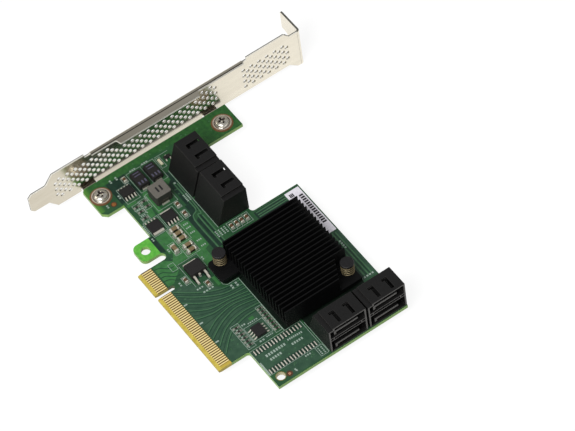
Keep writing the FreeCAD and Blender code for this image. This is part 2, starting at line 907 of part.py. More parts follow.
def linear_regulator():
    """Body, tab and leads of the regulator beside the edge connector."""
    x = front_x + regulator_x
    end_x = x + regulator_length
    middle_y = regulator_y + regulator_width / 2
    end_y = regulator_y + regulator_width
    body = tapered_block(x, end_x, regulator_y, end_y, top_z, top_z + regulator_height, chip_taper)
    half_tab = regulator_tab_width / 2
    tab_top = top_z + regulator_tab_thickness
    tab = box(x - regulator_tab_reach, x, middle_y - half_tab, middle_y + half_tab, top_z, tab_top)
    tab = tab.cut(body)
    half_lead = regulator_lead_width / 2
    entry_z = top_z + regulator_lead_entry
    lead_top = entry_z + regulator_lead_thickness
    tip_x = end_x + regulator_lead_reach
    heel_x = tip_x - regulator_lead_foot
    bend_x = heel_x - regulator_lead_entry
    section = [
        (end_x - chip_taper, entry_z),
        (bend_x, entry_z),
        (heel_x, top_z),
        (tip_x, top_z),
        (tip_x, top_z + regulator_lead_thickness),
        (heel_x, top_z + regulator_lead_thickness),
        (bend_x, lead_top),
        (end_x - chip_taper, lead_top),
    ]
    leads = []
    for side in (-1, 1):
        start_y = middle_y + side * regulator_lead_spacing / 2 - half_lead
        leads.append(prism(section, on_xz(start_y), V(0, regulator_lead_width, 0)))
    stub_end = end_x + regulator_stub_reach
    stub_y = (middle_y - half_lead, middle_y + half_lead)
    leads.append(box(end_x - chip_taper, stub_end, *stub_y, entry_z, lead_top))
    return body, tab, [piece.cut(body) for piece in leads]


# Power inductor and polymer capacitors
def power_inductor():
    x, y = front_x + inductor_x, inductor_y
    end_x, end_y = x + inductor_size, y + inductor_size
    chamfer = inductor_chamfer
    outline = [
        (x, y + chamfer),
        (x + chamfer, y),
        (end_x - chamfer, y),
        (end_x, y + chamfer),
        (end_x, end_y - chamfer),
        (end_x - chamfer, end_y),
        (x + chamfer, end_y),
        (x, end_y - chamfer),
    ]
    body = prism(outline, on_xy(top_z), V(0, 0, inductor_height))
    middle_y = y + inductor_size / 2
    half = inductor_terminal_width / 2
    thick = inductor_terminal_thickness
    terminals = [
        box(x - thick, x, middle_y - half, middle_y + half, top_z, top_z + inductor_terminal_height),
        box(end_x, end_x + thick, middle_y - half, middle_y + half, top_z, top_z + inductor_terminal_height),
    ]
    return body, terminals


def polymer_capacitor(y):
    x = front_x + polymer_x
    end_x, end_y = x + polymer_length, y + polymer_width
    waist_z = top_z + polymer_terminal_height
    foot = box(x, end_x, y, end_y, top_z, waist_z)
    crown = tapered_block(x, end_x, y, end_y, waist_z, top_z + polymer_height, polymer_taper)
    middle_y = y + polymer_width / 2
    half = polymer_terminal_width / 2
    thick = polymer_terminal_thickness
    terminals = [
        box(x - thick, x, middle_y - half, middle_y + half, top_z, waist_z),
        box(end_x, end_x + thick, middle_y - half, middle_y + half, top_z, waist_z),
    ]
    return foot.fuse(crown), terminals


# Two-ended chip parts
def chip_part(x, y, size_x, size_y, height):
    middle = front_x + x
    spans = (middle - size_x / 2, middle + size_x / 2, y - size_y / 2, y + size_y / 2)
    return box(*spans, top_z, top_z + height)


def ceramic_capacitors():
    row = [chip_part(x, ceramic_y, ceramic_width, ceramic_length, ceramic_height) for x in ceramic_places_x]
    lone = chip_part(ceramic_lone_x, ceramic_lone_y, ceramic_length, ceramic_width, ceramic_height)
    return row + [lone]


def chip_capacitors():
    places = [(coupling_x, coupling_y + coupling_pitch * n) for n in range(coupling_count)]
    size = (chip_cap_length, chip_cap_width, chip_cap_height)
    places += [(regulator_x + x, regulator_y + y) for x, y in regulator_cap_offsets]
    return [chip_part(x, y, *size) for x, y in places + chip_cap_places]


def chip_resistors():
    rows = [
        (resistor_row_x, resistor_row_below_heatsink, resistor_row_pitch, resistor_row_count),
        (resistor_low_x, resistor_low_below_heatsink, resistor_low_pitch, resistor_low_count),
    ]
    places = [(x + pitch * n, heatsink_y - below) for x, below, pitch, count in rows for n in range(count)]
    size = (resistor_width, resistor_length, resistor_height)
    return [chip_part(x, y, *size) for x, y in places + resistor_places]


def status_lamp():
    x = front_x + lamp_x - lamp_length / 2
    y = lamp_y - lamp_width / 2
    return tapered_block(x, x + lamp_length, y, y + lamp_width, top_z, top_z + lamp_height, chip_taper)


def blank_label():
    x = front_x + label_x
    end_y = board_height - label_inset
    return box(x, x + label_length, end_y - label_width, end_y, top_z, top_z + label_thickness)


save("board", board())
save("edge_contacts_front", edge_contacts(top_z))
save("edge_contacts_back", edge_contacts(bottom_z - contact_plating))
save("bracket", bracket())
save("bracket_screws", [bracket_screw(screw_low_y), bracket_screw(screw_high_y)])

save("heatsink", heatsink())
save("controller_chip", controller_chip())
save("thermal_pad", thermal_pad())
for side, place in (("left", pin_left), ("right", pin_right)):
    save("push_pin_" + side, push_pin(*place))
    save("push_pin_spring_" + side, pin_spring(*place))

rear_socket_y = board_height - socket_pitch - socket_width
front_socket_x = front_x + front_sockets_x + socket_width
housing = socket_housing()
contacts = Part.makeCompound(socket_contacts())
for number in (1, 2):
    shift = (number - 1) * socket_pitch
    for side, x, y, turn in (
        ("rear", rear_x - socket_setback, rear_socket_y + shift, 0),
        ("front", front_socket_x + shift, front_socket_face_y, 90),
    ):
        name = side + "_socket_" + str(number)
        save(name, place_socket(housing, x, y, turn))
        save(name + "_contacts", place_socket(contacts, x, y, turn))

logic_body, logic_leads = narrow_chip(front_x + logic_chip_x, logic_chip_y, False)
save("logic_chip", logic_body)
save("logic_chip_leads", logic_leads)
flash_body, flash_leads = narrow_chip(front_x + flash_x, flash_y, True)
save("flash_memory", flash_body)
save("flash_memory_leads", flash_leads)
for name, x, y, lead_side in (
    ("power_switch_low", power_low_x, power_low_y, -1),
    ("power_switch_high", power_high_x, power_high_y, 1),
):
    switch_body, switch_leads = power_chip(front_x + x, y, lead_side)
    save(name, switch_body)
    save(name + "_leads", switch_leads)
regulator_body, regulator_tab, regulator_leads = linear_regulator()
save("linear_regulator", regulator_body)
save("linear_regulator_tab", regulator_tab)
save("linear_regulator_leads", regulator_leads)

inductor_body, inductor_terminals = power_inductor()
save("power_inductor", inductor_body)
save("power_inductor_terminals", inductor_terminals)
polymer_terminals = []
for number in (1, 2):
    polymer_y = polymer_low_y + (number - 1) * (polymer_width + polymer_gap)
    polymer_body, terminals = polymer_capacitor(polymer_y)
    save("polymer_capacitor_" + str(number), polymer_body)
    polymer_terminals += terminals
save("polymer_capacitor_terminals", polymer_terminals)

save("ceramic_capacitors", ceramic_capacitors())
save("chip_capacitors", chip_capacitors())
save("chip_resistors", chip_resistors())
save("status_lamp", status_lamp())
save("blank_label", blank_label())
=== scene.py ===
import math
import random

import bmesh
import bpy
from mathutils import Matrix, Vector, kdtree


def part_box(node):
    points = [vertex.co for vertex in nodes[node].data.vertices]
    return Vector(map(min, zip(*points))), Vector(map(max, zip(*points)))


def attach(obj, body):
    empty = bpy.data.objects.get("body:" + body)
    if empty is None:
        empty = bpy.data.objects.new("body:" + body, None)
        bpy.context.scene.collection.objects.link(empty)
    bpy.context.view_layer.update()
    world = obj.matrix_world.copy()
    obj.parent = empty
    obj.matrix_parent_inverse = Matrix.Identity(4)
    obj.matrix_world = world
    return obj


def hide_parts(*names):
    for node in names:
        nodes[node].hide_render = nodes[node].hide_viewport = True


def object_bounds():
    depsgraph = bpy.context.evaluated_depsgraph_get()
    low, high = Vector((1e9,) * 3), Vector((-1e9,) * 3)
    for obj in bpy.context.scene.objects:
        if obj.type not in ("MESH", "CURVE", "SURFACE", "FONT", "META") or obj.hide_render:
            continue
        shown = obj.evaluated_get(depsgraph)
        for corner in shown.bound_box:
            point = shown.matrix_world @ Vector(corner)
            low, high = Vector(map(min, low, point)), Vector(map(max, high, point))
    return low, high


# Storage controller card: finishes, finer pieces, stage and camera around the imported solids.
# Sizes are millimetres in the part's own frame, and become metres when a mesh is made.

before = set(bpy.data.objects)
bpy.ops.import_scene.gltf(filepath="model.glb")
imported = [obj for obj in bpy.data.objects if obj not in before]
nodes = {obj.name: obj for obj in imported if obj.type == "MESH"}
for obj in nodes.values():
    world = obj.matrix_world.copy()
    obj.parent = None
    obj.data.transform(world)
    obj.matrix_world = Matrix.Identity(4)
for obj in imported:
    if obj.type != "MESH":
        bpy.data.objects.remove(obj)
cad_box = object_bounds()
random.seed(11)

MM = 0.001
sharp_angle = 25


def box_mm(node):
    low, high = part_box(node)
    return Vector(low) / MM, Vector(high) / MM


def solid_boxes(node):
    """Lowest and highest corner of each separate solid of a node, in reading order."""
    bm = bmesh.new()
    bm.from_mesh(nodes[node].data)
    bmesh.ops.remove_doubles(bm, verts=bm.verts, dist=1e-6)
    waiting = set(bm.verts)
    boxes = []
    while waiting:
        edge = [waiting.pop()]
        found = []
        while edge:
            vert = edge.pop()
            found.append(vert.co / MM)
            for link in vert.link_edges:
                other = link.other_vert(vert)
                if other in waiting:
                    waiting.remove(other)
                    edge.append(other)
        low = Vector([min(co[axis] for co in found) for axis in range(3)])
        high = Vector([max(co[axis] for co in found) for axis in range(3)])
        boxes.append((low, high))
    bm.free()
    return sorted(boxes, key=lambda pair: (round(pair[0].x, 2), round(pair[0].y, 2)))


# Levels, edges and groups of nodes read from the solids
board_low, board_high = box_mm("board")
bracket_low, bracket_high = box_mm("bracket")
front_x = board_low.x
top_z = board_high.z
bottom_z = board_low.z
print_rise = 0.03
print_z = top_z + print_rise
pad_z = top_z + 0.04
flat_chips = ("logic_chip", "flash_memory", "power_switch_low", "power_switch_high")
chips = flat_chips + ("linear_regulator",)
socket_names = ["%s_socket_%d" % (side, number) for side in ("rear", "front") for number in (1, 2)]


def at(x):
    """Place along X from a distance to the board's bracket edge."""
    return front_x + x


def from_edge(points):
    """Points on the board whose X counts from its bracket edge."""
    return [(at(x), y) for x, y in points]


# Colours and finishes
def linear(red, green, blue):
    """Shader colour from screen values of 0 to 255."""
    scaled = [value / 255 for value in (red, green, blue)]
    return tuple(((v + 0.055) / 1.055) ** 2.4 if v > 0.04 else v / 12.92 for v in scaled) + (1.0,)


class Finish:
    """A material being built: nodes are added by kind, and their inputs are set or linked."""

    def __init__(self, name):
        self.material = bpy.data.materials.new(name)
        self.material.use_nodes = True
        self.tree = self.material.node_tree
        self.shader = self.tree.nodes["Principled BSDF"]

    def put(self, node, inputs):
        for key, value in inputs.items():
            if isinstance(value, bpy.types.NodeSocket):
                self.tree.links.new(value, node.inputs[key])
            else:
                node.inputs[key].default_value = value

    def add(self, kind, inputs, **settings):
        node = self.tree.nodes.new("ShaderNode" + kind)
        for key, value in settings.items():
            setattr(node, key, value)
        self.put(node, inputs)
        return node

    def place(self):
        return self.add("TexCoord", {}).outputs["Object"]

    def spot(self):
        """Place on the card, by axis."""
        return self.add("SeparateXYZ", {"Vector": self.place()}).outputs

    def facing(self):
        """Direction of the surface, by axis."""
        normal = self.add("NewGeometry", {}).outputs["Normal"]
        return self.add("SeparateXYZ", {"Vector": normal}).outputs

    def noise(self, grain, stretch=(1, 1, 1), detail=3.0):
        """Noise of about grain millimetres, drawn out by stretch along each axis."""
        scale = tuple(1 / value for value in stretch)
        vector = self.add("Mapping", {"Vector": self.place(), "Scale": scale}).outputs["Vector"]
        inputs = {"Vector": vector, "Scale": 1 / (grain * MM), "Detail": detail}
        return self.add("TexNoise", inputs).outputs["Fac"]

    def math(self, operation, first, second=0.0):
        return self.add("Math", {0: first, 1: second}, operation=operation).outputs[0]

    def spread(self, value, low=0.0, high=1.0, start=0.3, end=0.7):
        inputs = {"Value": value, "From Min": start, "From Max": end, "To Min": low, "To Max": high}
        return self.add("MapRange", inputs).outputs["Result"]

    def mix(self, factor, first, second):
        return self.add("Mix", {0: factor, 6: first, 7: second}, data_type="RGBA").outputs[2]

    def blend(self, factor, dark, light):
        """Mix of two screen colours."""
        return self.mix(factor, linear(*dark), linear(*light))

    def upright(self, limit):
        """One where the surface stands steeper than a limit on its upward share."""
        return self.math("LESS_THAN", self.math("ABSOLUTE", self.facing()["Z"]), limit)

    def within(self, spot, x0=None, x1=None, y0=None, y1=None):
        """One inside a rectangle on the board and nought outside. A side that isn't given is open."""
        inside = 1.0
        for axis, low, high in (("X", x0, x1), ("Y", y0, y1)):
            for test, limit in (("GREATER_THAN", low), ("LESS_THAN", high)):
                if limit is not None:
                    inside = self.math("MULTIPLY", inside, self.math(test, spot[axis], limit * MM))
        return inside

    def bump(self, height, depth):
        """Normal from a height of depth millimetres."""
        return self.add("Bump", {"Height": height, "Distance": depth * MM}).outputs["Normal"]

    def done(self, colour, roughness, normal, metal=0.0, gloss=0.5):
        inputs = {"Base Color": colour, "Roughness": roughness, "Normal": normal}
        self.put(self.shader, {**inputs, "Metallic": metal, "Specular IOR Level": gloss})
        return self.material


def surface(name, dark, light, grain, roughness, bump, metal=0.0, gloss=0.5, stretch=(1, 1, 1)):
    """Finish that wanders between two colours and two roughnesses, with a fine relief."""
    finish = Finish(name)
    colour = finish.blend(finish.spread(finish.noise(grain, stretch)), dark, light)
    fine = finish.noise(grain / 4, stretch, 4.0)
    return finish.done(colour, finish.spread(fine, *roughness), finish.bump(fine, bump), metal, gloss)


# Places in the finishes of the board, the fingers and the folded terminals
weave_pitch = 0.55
plain_strip = 3.2
plain_corner = 13.0
plain_corner_y = 48.0
clear_corner_x = -44.0
clear_corner_y = (5.6, 7.2)
hook_clear_y = 12.2
hook_low_x = -24.8
hook_high_x = -15.0
finger_end_y = 5.55
finger_pitch = 1.0
last_finger_x = 38.95
key_half = 1.2
shaded_edge_x = -11.0
corner_hole = (55.8, 16.0)
hole_reach = 1.8
terminal_foot = 0.75


def board_finish():
    """Green resist on the faces, bare laminate on the edges, the tongue and the clear hook."""
    finish = Finish("board_resist")
    spot = finish.spot()
    turns = 2 * math.pi / (weave_pitch * MM)
    waves = [finish.math("SINE", finish.math("MULTIPLY", spot[axis], turns)) for axis in "XY"]
    weave = finish.math("MULTIPLY", *waves)
    mottle = finish.noise(1.2)
    speck = finish.spread(mottle)
    resist = finish.blend(finish.spread(finish.noise(9.0)), (22, 62, 42), (40, 84, 50))
    resist = finish.mix(finish.spread(mottle, 0.0, 0.35), resist, linear(46, 98, 48))
    resist = finish.mix(finish.spread(weave, 0.0, 0.12, -1.0, 1.0), resist, linear(70, 120, 74))
    # Plain resist with no copper below it, along the bracket, in a corner and in the retention hook
    strip = finish.within(spot, x1=at(plain_strip))
    strip = finish.math("MAXIMUM", strip, finish.within(spot, x1=at(plain_corner), y0=plain_corner_y))
    resist = finish.mix(strip, resist, finish.blend(speck, (30, 80, 38), (48, 102, 46)))
    corner = finish.spread(spot["Y"], 1.0, 0.0, *(y * MM for y in clear_corner_y))
    corner = finish.math("MULTIPLY", corner, finish.within(spot, x1=clear_corner_x))
    resist = finish.mix(corner, resist, linear(76, 130, 50))
    hook = finish.within(spot, hook_low_x, hook_high_x, y1=hook_clear_y)
    resist = finish.mix(hook, resist, finish.blend(speck, (82, 170, 58), (110, 194, 74)))
    # Bare laminate between and before the gold fingers
    tongue = finish.within(spot, hook_high_x, y1=finger_end_y)
    bare = finish.blend(speck, (72, 50, 16), (92, 66, 24))
    bare = finish.mix(finish.within(spot, last_finger_x), bare, linear(196, 172, 70))
    resist = finish.mix(tongue, resist, bare)
    bevel = finish.blend(speck, (184, 162, 58), (208, 190, 84))
    resist = finish.mix(finish.upright(0.99), resist, bevel)
    # Layers of the laminate on the edges, with painted shade on the edges facing the bracket, and dark in
    # the key slot
    layers = finish.spread(finish.noise(0.5, (20, 20, 1)))
    rim = finish.blend(layers, (128, 172, 84), (158, 198, 108))
    # Edges facing the bracket get painted shade.
    shaded = finish.math("LESS_THAN", finish.facing()["X"], -0.9)
    shaded = finish.math("MULTIPLY", shaded, finish.within(spot, x1=shaded_edge_x))
    rim = finish.mix(shaded, rim, linear(30, 25, 18))
    in_key = finish.within(spot, -key_half, key_half, y1=hook_clear_y)
    rim = finish.mix(in_key, rim, linear(70, 84, 34))
    by_hole = finish.within(spot, *(c + side * hole_reach for c in corner_hole for side in (-1, 1)))
    rim = finish.mix(by_hole, rim, linear(206, 200, 162))
    edge = finish.mix(tongue, rim, bevel)
    colour = finish.mix(finish.upright(0.5), resist, edge)
    height = finish.math("ADD", finish.noise(0.4), finish.math("MULTIPLY", weave, 0.2))
    return finish.done(colour, finish.spread(finish.noise(0.8), 0.34, 0.48), finish.bump(height, 0.01))


def shaded_sides_finish(name, tops, sides):
    """Fired or pressed powder, with painted shade making the upright sides darker."""
    finish = Finish(name)
    grain = finish.spread(finish.noise(0.3))
    colour = finish.mix(finish.upright(0.3), finish.blend(grain, *tops), finish.blend(grain, *sides))
    return finish.done(colour, finish.spread(grain, 0.6, 0.8), finish.bump(grain, 0.02))


def sheet_finish():
    """Plated sheet with fine lines along the bracket, paler towards the screw tab and darker towards the
    foot as painted shade.
    """
    finish = Finish("plated_sheet")
    along = finish.spread(finish.spot()["Y"], start=bracket_low.y * MM, end=bracket_high.y * MM)
    lines = finish.noise(2.5, (1, 6, 1))
    # Darker towards the foot: painted shade.
    dark = finish.blend(along, (204, 196, 178), (230, 223, 206))
    light = finish.blend(along, (214, 207, 190), (240, 233, 216))
    colour = finish.mix(finish.spread(lines), dark, light)
    return finish.done(colour, finish.spread(lines, 0.2, 0.28), finish.bump(lines, 0.002), 1.0)


def terminal_finish():
    """Plated strip, with painted shade where it stands against the body, and bright at its foot."""
    finish = Finish("folded_terminal")
    grain = finish.spread(finish.noise(0.4))
    # Darker upright part against the body: painted shade.
    shade = finish.blend(grain, (58, 55, 48), (78, 74, 66))
    bright = finish.blend(grain, (188, 184, 170), (216, 212, 198))
    raised = finish.math("GREATER_THAN", finish.spot()["Z"], (top_z + terminal_foot) * MM)
    colour = finish.mix(raised, bright, shade)
    return finish.done(colour, finish.spread(grain, 0.3, 0.45), finish.bump(grain, 0.008), 0.3)


def finger_finish():
    """Gold plating, bright along the middle of each finger and brown down its long sides."""
    finish = Finish("gold_finger")
    across = finish.math("SUBTRACT", finish.spot()["X"], finger_pitch / 2 * MM)
    ridge = finish.math("COSINE", finish.math("MULTIPLY", across, 2 * math.pi / (finger_pitch * MM)))
    grain = finish.spread(finish.noise(0.7))
    bright = finish.blend(grain, (252, 226, 150), (255, 237, 172))
    brown = finish.blend(grain, (132, 96, 34), (154, 114, 46))
    colour = finish.mix(finish.spread(ridge, start=-0.45, end=0.35), brown, bright)
    return finish.done(colour, finish.spread(grain, 0.26, 0.4), finish.bump(grain, 0.004), 0.15)


# Ranges of roughness
satin = (0.34, 0.46)
smooth = (0.3, 0.42)
glazed = (0.3, 0.45)
tarnished = (0.3, 0.5)
fired = (0.35, 0.5)
dull = (0.4, 0.55)
matte = (0.5, 0.65)
chalky = (0.5, 0.7)

resist_mat = board_finish()
pour_mat = surface("copper_pour", (46, 104, 52), (64, 122, 68), 1.6, satin, 0.01)
dark_mat = surface("dark_ground", (12, 42, 32), (24, 56, 42), 1.6, satin, 0.01)
# Near-black ground for painted shadow.
shadow_ground_mat = surface("painted_shadow_ground", (8, 18, 12), (14, 28, 19), 1.6, matte, 0.01, gloss=0.2)
haze_mat = surface("trace_ground", (42, 75, 56), (56, 89, 67), 2.5, satin, 0.01)
trace_mat = surface("trace", (60, 104, 70), (76, 118, 82), 0.8, smooth, 0.004)
dim_trace_mat = surface("dim_trace", (20, 56, 38), (32, 68, 48), 0.8, smooth, 0.004)
silk_mat = surface("white_print", (128, 148, 136), (174, 190, 178), 0.35, chalky, 0.004)
gold_mat = surface("gold", (230, 198, 120), (252, 226, 160), 0.7, (0.26, 0.4), 0.004, 0.4)
finger_mat = finger_finish()
tin_mat = surface("tin", (206, 202, 186), (236, 232, 218), 0.4, (0.24, 0.4), 0.01, 0.4)
solder_mat = surface("solder", (190, 188, 176), (226, 224, 212), 0.5, (0.2, 0.36), 0.02, 0.4)
copper_mat = surface("copper", (114, 80, 54), (146, 108, 76), 0.6, tarnished, 0.01, 0.3)
dot_mat = surface("bare_copper", (138, 86, 38), (164, 110, 58), 0.6, tarnished, 0.01, 0.2)
pale_dot_mat = surface("pale_copper", (182, 122, 92), (210, 154, 122), 0.6, tarnished, 0.01, 0.2)
ring_mat = surface("dot_ring", (66, 40, 26), (92, 62, 36), 0.5, dull, 0.006)
dull_mat = surface("dull_tin", (116, 124, 112), (152, 156, 144), 0.4, dull, 0.01, 0.2)
plating_mat = surface("dull_plating", (126, 118, 66), (158, 148, 92), 0.5, fired, 0.01, 0.2)
bracket_mat = sheet_finish()
sheared_mat = surface("sheared_edge", (232, 228, 216), (252, 249, 240), 0.5, dull, 0.006, 0.15)
# Darker outer half of the sheet's cut edges and the upward edges of the ear.
dark_edge_mat = surface("dark_sheet_edge", (98, 97, 90), (122, 121, 112), 0.6, dull, 0.004, 0.4)
# Painted shade for the walls of the holes on the side of the foot.
hole_shade_mat = surface("painted_hole_shade", (150, 142, 122), (174, 166, 146), 0.6, dull, 0.004, 0.3)
# Painted shade for the crease of the flange.
crease_shade_mat = surface("crease", (44, 42, 36), (66, 62, 54), 0.8, dull, 0.004, 0.5)
screw_mat = surface("plated_screw", (206, 200, 188), (240, 236, 226), 0.5, (0.16, 0.28), 0.01, 0.85)
seat_mat = surface("screw_seat", (176, 164, 150), (208, 196, 182), 0.5, glazed, 0.01, 0.3)
# Painted shade for the cross recess and the ring round the screw head.
recess_shade_mat = surface("painted_recess_shade", (46, 38, 34), (70, 60, 52), 0.5, (0.4, 0.6), 0.01, 0.3)
anodised_mat = surface(
    "black_anodised", (2, 2, 3), (6, 6, 7), 0.6, (0.45, 0.62), 0.01, gloss=0.22, stretch=(1, 18, 1)
)
socket_mat = surface("socket_plastic", (14, 14, 14), (24, 23, 23), 0.4, (0.42, 0.58), 0.012, gloss=0.35)
# Painted highlight for the bevelled socket edges, and painted light for the socket fronts and their ribs.
edge_highlight_mat = surface("painted_socket_edge_highlight", (34, 33, 32), (48, 46, 44), 0.4, (0.38, 0.52), 0.004)
lit_front_mat = surface("socket_edge", (60, 58, 54), (80, 77, 72), 0.4, fired, 0.004)
chip_mat = surface("chip_plastic", (24, 23, 23), (36, 34, 34), 0.25, (0.5, 0.68), 0.015, gloss=0.4)
pin_mat = surface("pin_plastic", (18, 17, 18), (30, 29, 31), 0.5, dull, 0.01, gloss=0.4)
brass_mat = surface("brass_wire", (112, 100, 72), (144, 131, 100), 0.4, (0.42, 0.55), 0.004, 0.6)
# Inductor and ceramic capacitor bodies: their darker upright sides are painted shade.
inductor_mat = shaded_sides_finish("pressed_powder", ((94, 91, 84), (116, 112, 104)), ((40, 42, 36), (56, 57, 50)))
terminal_mat = terminal_finish()
mark_mat = surface("grey_mark", (66, 64, 84), (92, 90, 110), 0.5, chalky, 0.004)
tan_mat = shaded_sides_finish("tan_ceramic", ((108, 92, 62), (136, 118, 86)), ((24, 18, 8), (38, 30, 16)))
brown_mat = surface("brown_ceramic", (76, 54, 34), (104, 76, 50), 0.4, fired, 0.01)
black_mat = surface("black_glaze", (16, 16, 17), (30, 30, 32), 0.3, glazed, 0.008)
resistor_mat = surface("resistor_glaze", (38, 34, 31), (58, 52, 48), 0.3, fired, 0.008)
slot_shade_mat = surface("painted_slot_shade", (4, 4, 4), (9, 9, 9), 0.4, (0.6, 0.8), 0.004, gloss=0.1)
pad_mat = surface("thermal_pad", (128, 130, 134), (146, 148, 152), 0.4, (0.7, 0.9), 0.02)
lamp_mat = surface("milky_lamp", (196, 190, 160), (222, 218, 192), 0.5, (0.2, 0.35), 0.006)
label_mat = surface("blank_paper", (230, 226, 236), (246, 243, 250), 1.0, matte, 0.006)
ink_mat = surface("dark_ink", (34, 32, 36), (52, 50, 54), 0.4, matte, 0.002)


# Meshes
def rectangle(x0, x1, y0, y1):
    return [(x0, y0), (x1, y0), (x1, y1), (x0, y1)]


def circle(u, v, radius, sides):
    turns = [2 * math.pi * n / sides for n in range(sides)]
    return [(u + radius * math.cos(turn), v + radius * math.sin(turn)) for turn in turns]


def rounded(corners, step=math.radians(12)):
    """Outline through corners (u, v, radius), with round corners as arcs."""
    points = []
    for index, (u, v, radius) in enumerate(corners):
        here = Vector((u, v))
        if radius == 0:
            points.append((u, v))
            continue
        to_last = (Vector(corners[index - 1][:2]) - here).normalized()
        to_next = (Vector(corners[(index + 1) % len(corners)][:2]) - here).normalized()
        half = to_last.angle(to_next) / 2
        centre = here + (to_last + to_next).normalized() * (radius / math.sin(half))
        start = here + to_last * (radius / math.tan(half)) - centre
        turn = math.pi - 2 * half
        if to_last.x * to_next.y - to_last.y * to_next.x > 0:
            turn = -turn
        count = max(2, math.ceil(abs(turn) / step))
        for n in range(count + 1):
            angle = turn * n / count
            cos, sin = math.cos(angle), math.sin(angle)
            spot = centre + Vector((start.x * cos - start.y * sin, start.x * sin + start.y * cos))
            points.append((spot.x, spot.y))
    return points


def smooth_path(points, steps):
    """Points on a soft curve through the given ones."""
    ends = [points[0]] + list(points) + [points[-1]]
    path = []
    for index in range(len(points) - 1):
        a, b, c, d = (Vector(ends[index + n]) for n in range(4))
        for n in range(steps):
            t = n / steps
            bend = (2 * a - 5 * b + 4 * c - d) * t * t + (3 * b - a - 3 * c + d) * t * t * t
            path.append(tuple((2 * b + (c - a) * t + bend) / 2))
    return path + [tuple(points[-1])]


def heading(path, index):
    """Direction of a path at one of its points."""
    before = Vector(path[max(index - 1, 0)])
    after = Vector(path[min(index + 1, len(path) - 1)])
    return (after - before).normalized()


ON_YZ = Matrix(((0, 0, 1, 0), (1, 0, 0, 0), (0, 1, 0, 0), (0, 0, 0, 1)))
ON_XZ = Matrix(((1, 0, 0, 0), (0, 0, 1, 0), (0, 1, 0, 0), (0, 0, 0, 1)))


